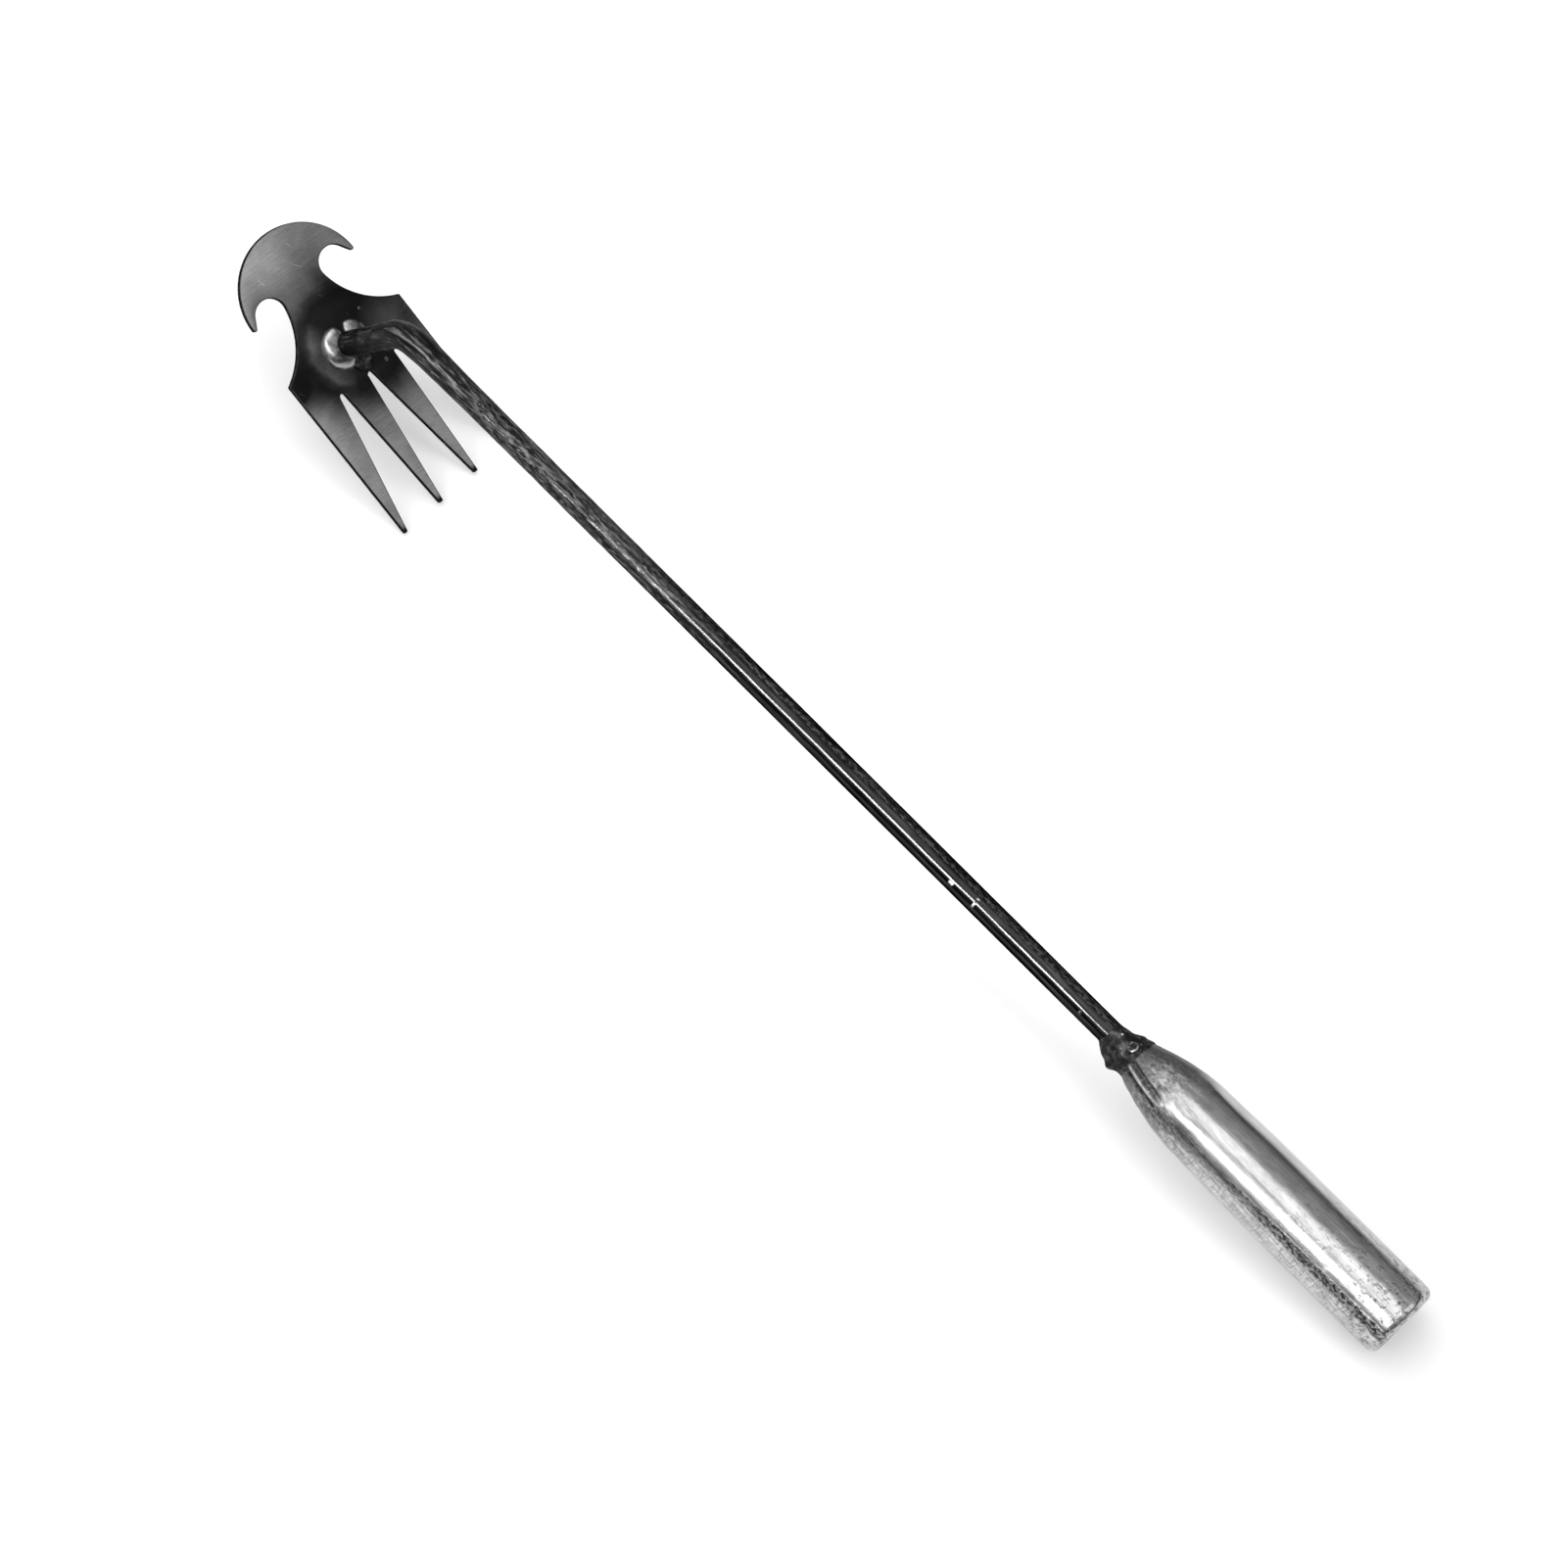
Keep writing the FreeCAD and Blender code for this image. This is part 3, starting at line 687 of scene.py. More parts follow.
def new_material(name):
    """A new material, its node tree and its shader."""
    material = bpy.data.materials.new(name)
    material.use_nodes = True
    return material, material.node_tree, material.node_tree.nodes["Principled BSDF"]


def metal(name, edge=1.0):
    """A new metal. Edge is how bright it turns at a glance."""
    material, tree, shader = new_material(name)
    shader.inputs["Metallic"].default_value = 1.0
    shader.inputs["Specular Tint"].default_value = (edge, edge, edge, 1)
    return material, tree, shader


def finish_metal(tree, shader, colour, roughness, normal):
    tree.links.new(colour, shader.inputs["Base Color"])
    tree.links.new(roughness, shader.inputs["Roughness"])
    tree.links.new(normal, shader.inputs["Normal"])


# ---- material of the head ----

# Grey of the head against the distance from the middle of the heat, in shares of HEAT_REACH: where soot
# covers it, and on its -Y side, where one heat ring shows.
HEAT_MIDDLE = (0, 3.5, 0)
HEAT_REACH = 64.0
HEAT_SOOT = [
    (0.0, 0.010), (0.16, 0.014), (0.24, 0.018), (0.31, 0.014), (0.36, 0.034), (0.40, 0.075), (0.45, 0.13),
    (0.50, 0.20), (0.58, 0.27), (0.66, 0.33), (0.76, 0.37), (1.0, 0.40),
]
HEAT_RINGS = [
    (0.0, 0.012), (0.15, 0.016), (0.19, 0.035), (0.24, 0.075), (0.28, 0.120), (0.31, 0.040), (0.35, 0.018),
    (0.40, 0.060), (0.45, 0.12), (0.50, 0.19), (0.58, 0.26), (0.76, 0.36), (1.0, 0.40),
]

# A pale haze and a patch of soot on the head: middle, radius, grey, and cover against shares of radius.
HEAT_PATCHES = [
    ((3, 19, 0), 13.0, 0.088, [(0.1, 0.85), (1.0, 0.0)]),
    ((-1, -28, 0), 18.0, 0.010, [(0.4, 1.0), (0.95, 0.0)]),
]

# Length that places along the tines are divided by.
TIP_REACH = 80.0

# Scratches on the blade: middle along X and Y, degrees from X, length.
BLADE_SCRATCHES = [(-36.0, 3.4, 38, 4.6), (-39.6, -12.2, 12, 3.4), (-44.0, 6.0, 24, 2.4)]


def scratch_mark(tree, place, x, y, degrees, length):
    moved = add_node(tree, "ShaderNodeVectorMath", {0: place, 1: (x, y, 0)}, operation="SUBTRACT")
    along = turned(tree, moved.outputs["Vector"], -degrees)
    inside = band(tree, axis_part(tree, along, "X"), 0.0, length / 2)
    thin = band(tree, axis_part(tree, along, "Y"), 0.0, 0.12)
    return times(tree, times(tree, inside, thin), 0.8)


def heated_grey(tree, place):
    """Grey of the head's faces: soot and heat rings round the welds, and clean steel beyond them."""
    flat = scaled(tree, place, (1, 1, 0))
    distance = distance_from(tree, flat, HEAT_MIDDLE)
    wobble = calc(tree, "MULTIPLY_ADD", grain(tree, place, 0.09, 3), 7.0, -3.5)
    reach = over(tree, calc(tree, "ADD", distance, wobble), HEAT_REACH)
    beside = calc(tree, "SUBTRACT", HEAT_MIDDLE[1], axis_part(tree, place, "Y"))
    rings_show = ramp(tree, over(tree, beside, distance), [(0.55, 0.0), (0.88, 1.0)])
    heat = blended(tree, rings_show, ramp(tree, reach, HEAT_SOOT), ramp(tree, reach, HEAT_RINGS))
    for middle, radius, grey, cover in HEAT_PATCHES:
        from_middle = over(tree, distance_from(tree, flat, middle), radius)
        heat = blended(tree, ramp(tree, from_middle, cover), heat, grey)
    return heat


def shaded_head(tree, place, colour):
    """Painted shade towards -Y, in the rod's shadow near Y 8 and at the tine ends; the blade is darker too.
    """
    # Painted shade across the head: darker towards -Y, and a band of the rod's shadow near Y 8.
    across = calc(tree, "MULTIPLY_ADD", axis_part(tree, place, "Y"), 1 / 64, 0.5)
    colour = toned(tree, colour, across, [(0.05, 0.76), (0.28, 0.84), (0.45, 1.0), (0.62, 0.78), (1.0, 0.9)])
    along = calc(tree, "MULTIPLY_ADD", axis_part(tree, place, "X"), 1 / 130, 0.43)
    colour = toned(tree, colour, along, [(0.15, 0.80), (0.40, 1.0)])
    # Painted shade at the ends of the tines.
    tips = ramp(tree, over(tree, axis_part(tree, place, "X"), TIP_REACH), [(0.85, 0.0), (0.875, 1.0)])
    return blended(tree, tips, colour, 0.012)


def head_steel():
    """Ground sheet with the weld's heat rings, grinding lines and a few scratches."""
    material, tree, shader = metal("head_steel", edge=0.5)
    place = place_on_part(tree)
    lines = drawn_grain(tree, place, (2.6, 0.09, 1), 3, degrees=3)
    fine = drawn_grain(tree, place, (3.4, 0.2, 1), 2, degrees=24)
    blotches = grain(tree, place, 0.10, 5)
    rubs = drawn_grain(tree, place, (0.12, 3.2, 1), 2, degrees=-17)
    colour = shaded_head(tree, place, heated_grey(tree, place))
    colour = toned(tree, colour, lines, [(0.3, 0.78), (0.7, 1.16)])
    colour = toned(tree, colour, fine, [(0.3, 0.86), (0.7, 1.10)])
    colour = toned(tree, colour, blotches, [(0.3, 0.82), (0.68, 1.1)])
    colour = blended(tree, ramp(tree, rubs, [(0.72, 0.0), (0.78, 0.3)]), colour, 0.45)
    for x, y, degrees, length in BLADE_SCRATCHES:
        colour = blended(tree, scratch_mark(tree, place, x, y, degrees, length), colour, 0.38)
    roughness = ramp(tree, lines, [(0.25, 0.40), (0.75, 0.54)])
    normal = bumped(tree, lines, 0.006)
    normal = bumped(tree, rubs, 0.008, normal)
    normal = bumped(tree, grain(tree, place, 0.5, 4), 0.02, normal)
    finish_metal(tree, shader, colour, roughness, normal)
    return material


def cut_steel():
    """Sides of the sheet: dark from the cut, with fine drag lines through the thickness."""
    material, tree, shader = metal("head_cut_edge", edge=0.2)
    place = place_on_part(tree)
    drag = drawn_grain(tree, place, (2.6, 2.6, 0.25), 3)
    soot = grain(tree, place, 0.35, 4)
    colour = toned(tree, ramp(tree, drag, [(0.3, 0.018), (0.75, 0.07)]), soot, [(0.3, 0.5), (0.7, 1.1)])
    roughness = ramp(tree, drag, [(0.3, 0.55), (0.7, 0.38)])
    finish_metal(tree, shader, colour, roughness, bumped(tree, drag, 0.05))
    return material


# ---- material of the rod ----

# Lengths that places along the rod's heated stretch, and along all of it, are divided by.
HEATED_LENGTH = 260.0
ROD_REACH = 480.0

# A nick and a chip in the rod's upper side: distance from its foot, place across it towards -Y, half
# length, half width.
ROD_MARKS = [(371.6, 2.4, 0.5, 1.6), (360.0, 3.3, 1.1, 0.6)]

# The highlight line painted along the rod: place across it, half width, and how far it drifts.
HIGHLIGHT_LINE_PLACE = 2.45
HIGHLIGHT_LINE_HALF_WIDTH = 0.32
HIGHLIGHT_LINE_DRIFT = 1.6


def mill_scale(tree, place, streaks, mottle):
    """Grey of the rod's scale, drawn out along it, with painted light on its +Y side, broken into specks."""
    colour = ramp(tree, streaks, [(0.34, 0.016), (0.52, 0.030), (0.68, 0.06)])
    colour = toned(tree, colour, mottle, [(0.34, 0.7), (0.62, 1.25)])
    # Painted light: the +Y side is made several times lighter, in specks.
    across = calc(tree, "MULTIPLY_ADD", axis_part(tree, place, "Z"), 0.1, 0.5)
    far_side = ramp(tree, across, [(0.17, 0.0), (0.24, 1.0), (0.42, 1.0), (0.5, 0.0)])
    specks = drawn_grain(tree, place, (0.45, 1.0, 1.0), 3, 0.6)
    lit = toned(tree, 3.2, specks, [(0.42, 0.35), (0.50, 0.85), (0.59, 2.3)])
    return blended(tree, far_side, colour, product(tree, colour, lit))


def heated_scale(tree, mottle, from_foot):
    """Grey of the scale where the rod was heated: mottled, and darker on the neck."""
    colour = ramp(tree, mottle, [(0.38, 0.006), (0.48, 0.014), (0.56, 0.046), (0.65, 0.18)])
    return toned(tree, colour, from_foot, [(0.0, 0.35), (0.20, 0.45), (0.34, 1.0)])


def bare_marks(tree, place):
    """Where the nick and the chip took the scale off."""
    along = axis_part(tree, place, "X")
    across = axis_part(tree, place, "Z")
    marks = []
    for distance, beside, half_length, half_width in ROD_MARKS:
        lengthways = band(tree, along, distance, half_length)
        marks.append(times(tree, lengthways, band(tree, across, beside, half_width)))
    return calc(tree, "MAXIMUM", *marks)


def painted_highlight_line(tree, place, upper):
    """Painted highlight: a drifting bright line along the rod's upper side, faded just before the collar."""
    drift = drawn_grain(tree, place, (0.03, 0.0, 0.0), 2)
    offset = calc(tree, "MULTIPLY_ADD", drift, HIGHLIGHT_LINE_DRIFT, -HIGHLIGHT_LINE_DRIFT / 2)
    across = calc(tree, "ADD", axis_part(tree, place, "Z"), offset)
    line = times(tree, band(tree, across, HIGHLIGHT_LINE_PLACE, HIGHLIGHT_LINE_HALF_WIDTH), upper)
    before_collar = over(tree, axis_part(tree, place, "X"), ROD_REACH)
    return times(tree, line, ramp(tree, before_collar, [(0.88, 1.0), (0.90, 0.35)]))


def rod_steel():
    """Dark drawn mill scale, mottled where it was heated, worn bright in places, with a painted highlight
    along it.
    """
    material, tree, shader = metal("rod_steel", edge=0.12)
    place = place_on_part(tree)
    streaks = drawn_grain(tree, place, (0.035, 0.9, 0.9), 5, 0.6)
    mottle = drawn_grain(tree, place, (0.11, 0.8, 0.8), 6, 0.66, 0.45)
    flakes = drawn_grain(tree, place, (0.8, 2.2, 2.2), 3)
    dashes = drawn_grain(tree, place, (0.26, 1.5, 1.5), 3)
    from_foot = over(tree, axis_part(tree, place, "X"), HEATED_LENGTH)
    heated = ramp(tree, from_foot, [(0.0, 1.0), (0.5, 1.0), (0.75, 0.6), (0.95, 0.0)])
    past_bend = ramp(tree, from_foot, [(0.34, 0.0), (0.46, 1.0), (0.8, 1.0), (0.95, 0.0)])
    upper = over(tree, axis_part(tree, place, "Y"), SIZES["rod_radius"])
    upper = ramp(tree, upper, [(0.1, 0.0), (0.3, 1.0)])
    unbroken = blended(tree, heated, ramp(tree, streaks, [(0.3, 0.55), (0.5, 1.0)]),
                       ramp(tree, mottle, [(0.48, 0.0), (0.60, 0.6)]))

    bare = times(tree, bare_marks(tree, place), upper)
    worn = ramp(tree, flakes, [(0.70, 0.0), (0.80, 0.5)])
    # Painted highlight: a bright line in the colour along the rod's upper side.
    rubbing_and_highlight = times(tree, painted_highlight_line(tree, place, upper), unbroken)
    glints = times(tree, ramp(tree, dashes, [(0.53, 0.0), (0.58, 1.0)]), past_bend)
    colour = mill_scale(tree, place, streaks, mottle)
    colour = blended(tree, heated, colour, heated_scale(tree, mottle, from_foot))
    for mask, grey in ((bare, 0.75), (worn, 0.16), (rubbing_and_highlight, 0.17), (glints, 0.13)):
        colour = blended(tree, mask, colour, grey)

    roughness = blended(tree, heated, ramp(tree, mottle, [(0.40, 0.12), (0.62, 0.25)]),
                        ramp(tree, mottle, [(0.3, 0.56), (0.7, 0.38)]))
    roughness = blended(tree, glints, roughness, 0.2)
    roughness = blended(tree, bare, roughness, 0.5)
    normal = bumped(tree, streaks, 0.018)
    normal = bumped(tree, times(tree, mottle, heated), 0.10, normal)
    normal = bumped(tree, flakes, 0.005, normal)
    tree.links.new(ramp(tree, heated, [(0.3, 1.0), (1.0, 0.55)]), shader.inputs["Metallic"])
    finish_metal(tree, shader, colour, roughness, normal)
    return material


# ---- material of the handle socket ----

# Length that places across the tube are divided by.
TUBE_SIDE = 16.0

# Place across the tube of the rusty seam, and its half width.
SEAM_PLACE = 12.4
SEAM_HALF_WIDTH = 1.3


def slit_colour(tree, place, colour):
    """Painted shade in the slit and in the hollow beside it, and a painted highlight along the lip between
    them.
    """
    upward = axis_part(tree, place, "Y")
    sideways = axis_part(tree, place, "Z")
    turn = calc(tree, "SUBTRACT", calc(tree, "ARCTAN2", sideways, upward), SIZES["slit_angle"])
    radius = distance_from(tree, scaled(tree, place, (0, 1, 1)), (0, 0, 0))
    across = times(tree, turn, radius)
    along = over(tree, axis_part(tree, place, "X"), SIZES["slit_length"])
    beside = ramp(tree, along, [(0.0, 0.0), (0.12, 1.0), (0.85, 0.9), (1.05, 0.0)])
    patchy = times(tree, beside, ramp(tree, grain(tree, place, 0.5, 4), [(0.40, 0.55), (0.54, 1.0)]))
    rubbing_and_highlight = times(tree, beside, ramp(tree, grain(tree, place, 0.8, 3), [(0.38, 0.3), (0.55, 1.0)]))
    # Painted shade in the hollow and in the cut, and a painted highlight on the raised lip.
    hollow = (-3.9, 1.2, patchy, 0.03)
    cut = (0.0, 0.6, beside, 0.008)
    lip = (-1.9, 0.42, rubbing_and_highlight, 0.36)
    for middle, half_width, share, grey in (hollow, cut, lip):
        colour = blended(tree, times(tree, band(tree, across, middle, half_width), share), colour, grey)
    return colour


def rubbed_steel(tree, place, rubbing_and_highlight, hatch):
    """Grey of the clean tube, and the rubbing that crosses it on its -Y side."""
    colour = toned(tree, ramp(tree, rubbing_and_highlight, [(0.3, 0.42), (0.7, 0.56)]), hatch, [(0.3, 0.90), (0.7, 1.06)])
    crossing = drawn_grain(tree, place, (0.22, 1.5, 0.5), 2, degrees=-82)
    lines = ramp(tree, hatch, [(0.36, 0.70), (0.58, 1.15)])
    lines = toned(tree, lines, crossing, [(0.36, 0.72), (0.58, 1.15)])
    on_side = ramp(tree, over(tree, axis_part(tree, place, "Z"), TUBE_SIDE), [(0.80, 0.0), (0.90, 1.0)])
    return blended(tree, on_side, colour, product(tree, colour, lines))


def stained_nose(tree, place, along, mottle, on_nose, colour):
    """Heat stains and soot on the nose, heavier at its tip and on its two sides."""
    stain = ramp(tree, mottle, [(0.36, 0.07), (0.50, 0.19), (0.62, 0.38)])
    drawn = drawn_grain(tree, place, (0.10, 0.9, 0.9), 4)
    stain = toned(tree, stain, drawn, [(0.36, 0.66), (0.60, 1.2)])
    colour = blended(tree, on_nose, colour, stain)
    colour = blended(tree, ramp(tree, along, [(0.02, 0.8), (0.10, 0.0)]), colour, 0.05)
    across = axis_part(tree, place, "Z")
    far_side = ramp(tree, over(tree, across, -TUBE_SIDE), [(0.12, 0.0), (0.35, 0.75)])
    before_tube = ramp(tree, along, [(0.14, 1.0), (0.24, 0.0)])
    colour = blended(tree, times(tree, far_side, before_tube), colour, 0.04)
    near_side = ramp(tree, over(tree, across, TUBE_SIDE), [(0.50, 0.0), (0.72, 1.0)])
    past_slit = ramp(tree, along, [(0.06, 0.0), (0.14, 1.0), (0.24, 0.8), (0.42, 0.0)])
    soot = toned(tree, colour, mottle, [(0.42, 0.30), (0.56, 0.85)])
    return blended(tree, times(tree, near_side, past_slit), colour, soot)


def seam_mask(tree, place, along):
    """The seam along the tube's upper side, fainter past the nose."""
    above = ramp(tree, over(tree, axis_part(tree, place, "Y"), TUBE_SIDE), [(0.1, 0.0), (0.3, 1.0)])
    past_nose = ramp(tree, along, [(0.10, 0.0), (0.16, 0.8), (0.35, 0.5), (0.6, 1.0)])
    seam = band(tree, axis_part(tree, place, "Z"), SEAM_PLACE, SEAM_HALF_WIDTH)
    return times(tree, times(tree, seam, above), past_nose)


def tube_steel():
    """Satin tube: rubbed lengthways and across, dark and mottled on the nose, pitted at the mouth."""
    material, tree, shader = metal("tube_steel")
    place = place_on_part(tree)
    along = over(tree, axis_part(tree, place, "X"), SIZES["socket_length"])
    rubbing_and_highlight = drawn_grain(tree, place, (0.05, 1.5, 1.5), 4)
    hatch = drawn_grain(tree, place, (0.10, 1.7, 0.5), 2, degrees=7)
    mottle = drawn_grain(tree, place, (0.5, 0.8, 0.8), 7, 0.72)
    rust = drawn_grain(tree, place, (0.7, 1.1, 1.1), 6, 0.75)
    pits = drawn_grain(tree, place, (0.42, 0.55, 0.55), 4, 0.7)
    blotches = drawn_grain(tree, place, (0.08, 0.2, 0.2), 5)
    on_nose = ramp(tree, along, [(0.0, 1.0), (0.12, 1.0), (0.22, 0.0)])
    near_mouth = ramp(tree, along, [(0.45, 0.0), (0.80, 0.5), (0.97, 1.0)])
    seam = seam_mask(tree, place, along)
    rusty = times(tree, ramp(tree, rust, [(0.46, 0.0), (0.53, 1.0)]), seam)
    pitted = times(tree, ramp(tree, pits, [(0.54, 0.0), (0.59, 0.8)]), near_mouth)

    colour = rubbed_steel(tree, place, rubbing_and_highlight, hatch)
    colour = stained_nose(tree, place, along, mottle, on_nose, colour)
    colour = slit_colour(tree, place, colour)
    colour = blended(tree, rusty, colour, 0.05)
    colour = blended(tree, pitted, colour, 0.08)
    colour = toned(tree, colour, blotches, [(0.32, 0.84), (0.62, 1.05)])
    roughness = blended(tree, on_nose, ramp(tree, rubbing_and_highlight, [(0.3, 0.19), (0.7, 0.27)]),
                        ramp(tree, mottle, [(0.3, 0.40), (0.7, 0.5)]))
    normal = bumped(tree, rubbing_and_highlight, 0.012)
    normal = bumped(tree, hatch, 0.0015, normal)
    normal = bumped(tree, times(tree, rust, seam), 0.16, normal)
    normal = bumped(tree, calc(tree, "SUBTRACT", 1.0, pitted), 0.07, normal)
    normal = bumped(tree, times(tree, mottle, on_nose), 0.10, normal)
    tree.links.new(ramp(tree, on_nose, [(0.0, 1.0), (1.0, 0.6)]), shader.inputs["Metallic"])
    finish_metal(tree, shader, colour, roughness, normal)
    return material


# ---- material of the welds ----

# Middle of the burst bubble's rim, in the socket frame.
BUBBLE_MIDDLE = (BURST_BUBBLE[0], -0.3, 8.4)


def weld_metal():
    """Bead that is bright at its foot, with soot left in its hollows and up against the rod."""
    material, tree, shader = metal("weld_metal")
    place = place_on_part(tree)
    swirl = grain(tree, place, 0.26, 3, 0.5)
    height = calc(tree, "MULTIPLY_ADD", axis_part(tree, place, "Z"), 0.13, times(tree, swirl, 0.4))
    colour = ramp(tree, height, [(0.20, 0.55), (0.50, 0.40), (0.66, 0.17), (0.78, 0.04)])
    colour = blended(tree, ramp(tree, swirl, [(0.30, 0.6), (0.36, 0.0)]), colour, 0.12)
    on_top_bead = ramp(tree, over(tree, axis_part(tree, place, "Y"), 10.0), [(0.05, 0.0), (0.3, 0.6)])
    colour = blended(tree, on_top_bead, colour, 0.12)
    roughness = ramp(tree, swirl, [(0.34, 0.42), (0.6, 0.28)])
    normal = bumped(tree, grain(tree, place, 2.2, 4), 0.003, bumped(tree, swirl, 0.05))
    finish_metal(tree, shader, colour, roughness, normal)
    return material


def dull_drops():
    """Spatter under a skin of soot."""
    material, tree, shader = metal("weld_drops", edge=0.6)
    skin = grain(tree, place_on_part(tree), 0.9, 4)
    colour = ramp(tree, skin, [(0.38, 0.02), (0.6, 0.13)])
    roughness = ramp(tree, skin, [(0.3, 0.5), (0.7, 0.3)])
    finish_metal(tree, shader, colour, roughness, bumped(tree, skin, 0.08))
    return material


def sooty_weld():
    """Rough scaled weld, dark with a few bright spots; the broken rim of its burst bubble has a painted
    highlight.
    """
    material, tree, shader = metal("sooty_weld", edge=0.3)
    place = place_on_part(tree)
    crust = grain(tree, place, 0.36, 5, 0.62)
    spots = grain(tree, place, 0.42, 2)
    # Painted highlight on the broken rim of the burst bubble.
    rim = band(tree, distance_from(tree, place, BUBBLE_MIDDLE), BURST_BUBBLE[2], 0.4)
    rim = times(tree, rim, ramp(tree, grain(tree, place, 0.55, 2), [(0.46, 0.05), (0.54, 0.7)]))
    bright = calc(tree, "MAXIMUM", ramp(tree, spots, [(0.68, 0.0), (0.73, 1.0)]), rim)
    colour = ramp(tree, crust, [(0.36, 0.010), (0.50, 0.026), (0.64, 0.08)])
    colour = blended(tree, bright, colour, 0.55)
    roughness = blended(tree, bright, ramp(tree, crust, [(0.3, 0.5), (0.7, 0.34)]), 0.2)
    tree.links.new(ramp(tree, bright, [(0.0, 0.8), (1.0, 1.0)]), shader.inputs["Metallic"])
    finish_metal(tree, shader, colour, roughness, bumped(tree, crust, 0.14))
    return material


# ---- table, light and camera ----

TABLE_SIZE = 24
WALL_RADIUS = 11.5
WALL_BOTTOM = -0.5
WALL_TOP = 12.0
WALL_SIDES = 96

# Fitted camera: lens and sensor in millimetres, distance in metres, lean from straight down and heading
# round the tool in degrees, and how far from the middle of the tool it aims, in metres.
LENS = 135.89
SENSOR_WIDTH = 36.0
CAMERA_DISTANCE = 2.26256
CAMERA_LEAN = 24.265
CAMERA_HEADING = 44.731
CAMERA_AIM = (-0.01723, -0.00059)


def add_floor():
    bpy.ops.mesh.primitive_plane_add(size=TABLE_SIZE)
    floor = bpy.context.object
    floor.name = "table_top"
    material, tree, shader = new_material("white_table")
    place = add_node(tree, "ShaderNodeTexCoord", {}).outputs["Object"]
    tone = ramp(tree, grain(tree, place, 3.0, 2), [(0.3, 0.745), (0.7, 0.76)])
    tree.links.new(tone, shader.inputs["Base Color"])
    shader.inputs["Roughness"].default_value = 0.9
    shader.inputs["Specular IOR Level"].default_value = 0.1
    floor.data.materials.append(material)


def pale_wall():
    """A wall that glows a little unevenly by itself, whatever light falls on it."""
    material, tree, shader = new_material("pale_wall")
    shader.inputs["Base Color"].default_value = (0, 0, 0, 1)
    shader.inputs["Specular IOR Level"].default_value = 0.0
    tone = grain(tree, add_node(tree, "ShaderNodeTexCoord", {}).outputs["Object"], 0.2, 2)
    tree.links.new(ramp(tree, tone, [(0.3, 0.80), (0.7, 0.84)]), shader.inputs["Emission Color"])
    shader.inputs["Emission Strength"].default_value = 1.0
    return material


def add_backdrop():
    """A pale wall all round the table, seen by the camera only."""
    points = []
    for height in (WALL_BOTTOM, WALL_TOP):
        for side in range(WALL_SIDES):
            turn = 2 * math.pi * side / WALL_SIDES
            points.append((WALL_RADIUS * math.cos(turn), WALL_RADIUS * math.sin(turn), height))
    faces = []
    for side in range(WALL_SIDES):
        beside = (side + 1) % WALL_SIDES
        faces.append((side, beside, WALL_SIDES + beside, WALL_SIDES + side))
    mesh = bpy.data.meshes.new("backdrop")
    mesh.from_pydata(points, [], faces)
    mesh.materials.append(pale_wall())
    wall = add_object("backdrop", mesh)
    wall.visible_glossy = False
    wall.visible_diffuse = False
    wall.visible_shadow = False


def add_softbox(name, direction, distance, width, length, radiance, shadow=True):
    """A soft rectangle of light that faces the object, its length along the tool."""
    lamp = bpy.data.lights.new(name, "AREA")
    lamp.shape = "RECTANGLE"
    lamp.size = length
    lamp.size_y = width
    lamp.energy = radiance * math.pi * width * length
    lamp.use_shadow = shadow
    holder = add_object(name, lamp)
    away = Vector(direction).normalized()
    side = Vector((0, 1, 0)) if abs(away.x) > 0.6 else Vector((1, 0, 0))
    across = (side - away * side.dot(away)).normalized()
    turn = Matrix((across, away.cross(across), away)).transposed().to_4x4()
    holder.matrix_world = Matrix.Translation(away * distance) @ turn
    holder.visible_camera = False
    return holder


def towards_front(degrees):
    """Direction that leans from straight up towards -Y."""
    return (0, -math.sin(math.radians(degrees)), math.cos(math.radians(degrees)))


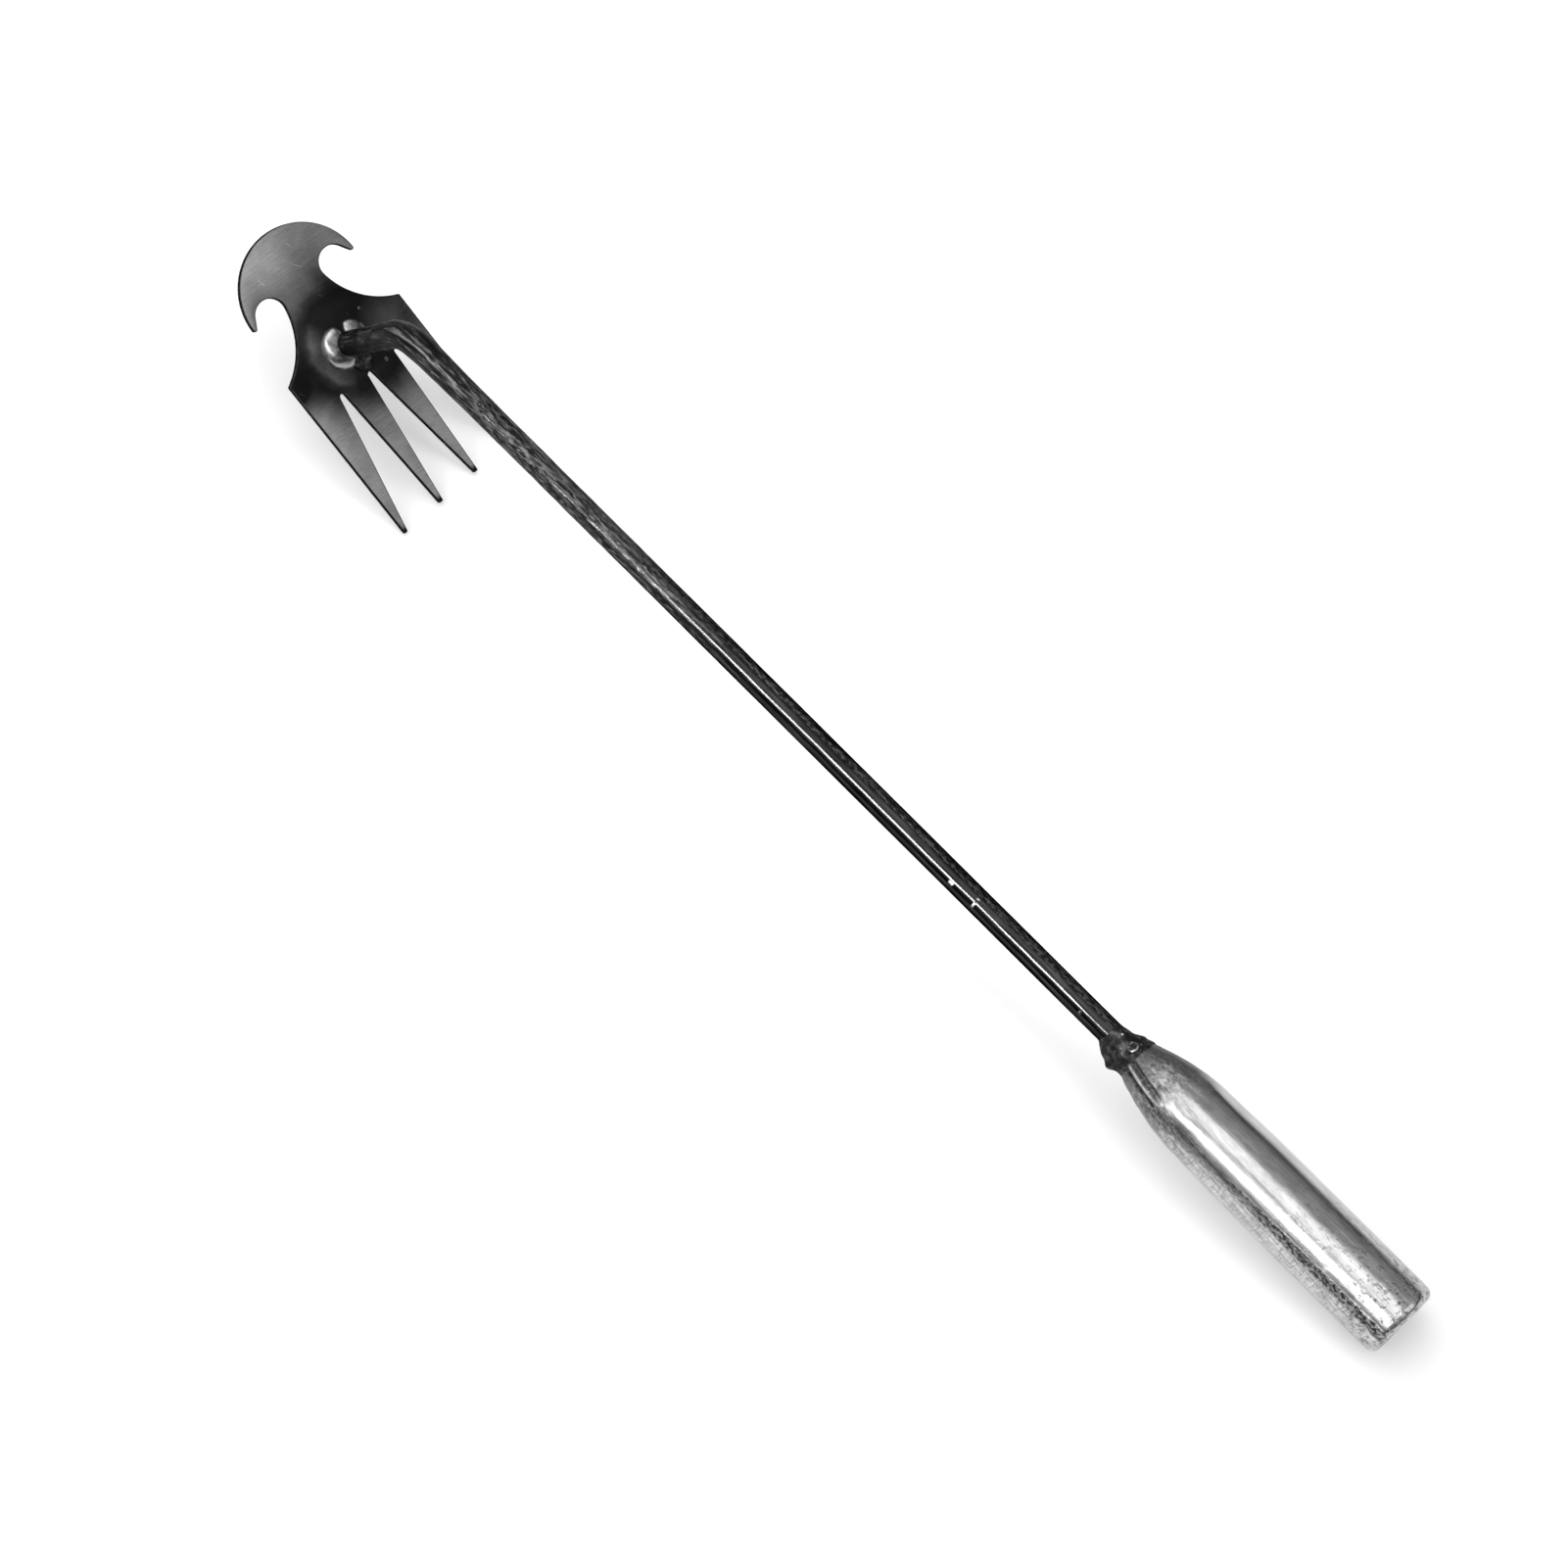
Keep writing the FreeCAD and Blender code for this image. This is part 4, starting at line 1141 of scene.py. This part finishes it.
def add_lights():
    """Light overhead, a soft one and a bright line towards -Y, two end walls, and a wash from the head.

    The one for the table does not show in the metal. Each has direction, distance, width, length, radiance.
    """
    add_softbox("overhead", (0, -0.06, 1), 1.9, 1.1, 2.8, 1.6)
    add_softbox("side", towards_front(43), 2.0, 0.80, 2.6, 1.8, shadow=False)
    add_softbox("line", towards_front(41), 1.9, 0.075, 1.6, 36.0, shadow=False)
    add_softbox("wall", (0.71, 0.29, 0.63), 2.2, 1.6, 1.4, 0.9)
    add_softbox("back", (-0.62, 0.38, 0.68), 2.2, 1.6, 1.6, 0.9)
    table = add_softbox("table", (-0.03, 0.24, 0.97), 2.2, 1.0, 1.6, 2.0)
    table.visible_glossy = False
    add_softbox("wash", (-0.75, -0.25, 0.60), 2.2, 1.8, 1.8, 1.6, shadow=False)


def add_room():
    """Dark at the horizon and grey above it, so that the metal shows its shape."""
    world = bpy.data.worlds.new("room")
    world.use_nodes = True
    tree = world.node_tree
    height = axis_part(tree, add_node(tree, "ShaderNodeTexCoord", {}).outputs["Generated"], "Z")
    grey = ramp(tree, height, [(0.0, 0.0), (0.14, 0.015), (0.24, 0.12), (0.38, 0.28), (0.7, 0.42)])
    tree.links.new(grey, tree.nodes["Background"].inputs["Color"])
    bpy.context.scene.world = world


def add_camera():
    """Looks down on the tool from the side of the handle, across its length."""
    lens = bpy.data.cameras.new("camera")
    lens.sensor_width = SENSOR_WIDTH
    lens.lens = LENS
    lens.clip_end = 50.0
    camera = add_object("camera", lens)
    lean = math.radians(CAMERA_LEAN)
    heading = math.radians(CAMERA_HEADING)
    away = Vector((math.sin(lean) * math.sin(heading), -math.sin(lean) * math.cos(heading), math.cos(lean)))
    middle = (CAD_BOX[0] + CAD_BOX[1]) / 2
    aim = Vector((middle.x + CAMERA_AIM[0], middle.y + CAMERA_AIM[1], CAD_BOX[0].z))
    camera.location = aim + away * CAMERA_DISTANCE
    camera.rotation_euler = away.to_track_quat("Z", "Y").to_euler()
    bpy.context.scene.camera = camera


def build():
    head = head_frame()
    socket = socket_frame()
    bright = weld_metal()
    sooty = sooty_weld()
    add_head_plate(head, head_steel(), cut_steel())
    add_head_bead("head_weld_front", head, bright, 1)
    add_head_bead("head_weld_top", head, bright, 2)
    add_head_bead("head_weld_rear", head, sooty, 3)
    add_rod(head, rod_steel())
    add_socket(socket, tube_steel())
    add_collar(socket, sooty)
    add_droplets(head, dull_drops())
    add_floor()
    add_backdrop()
    add_lights()
    add_room()
    add_camera()
    bpy.context.scene.view_settings.view_transform = "Standard"


build()
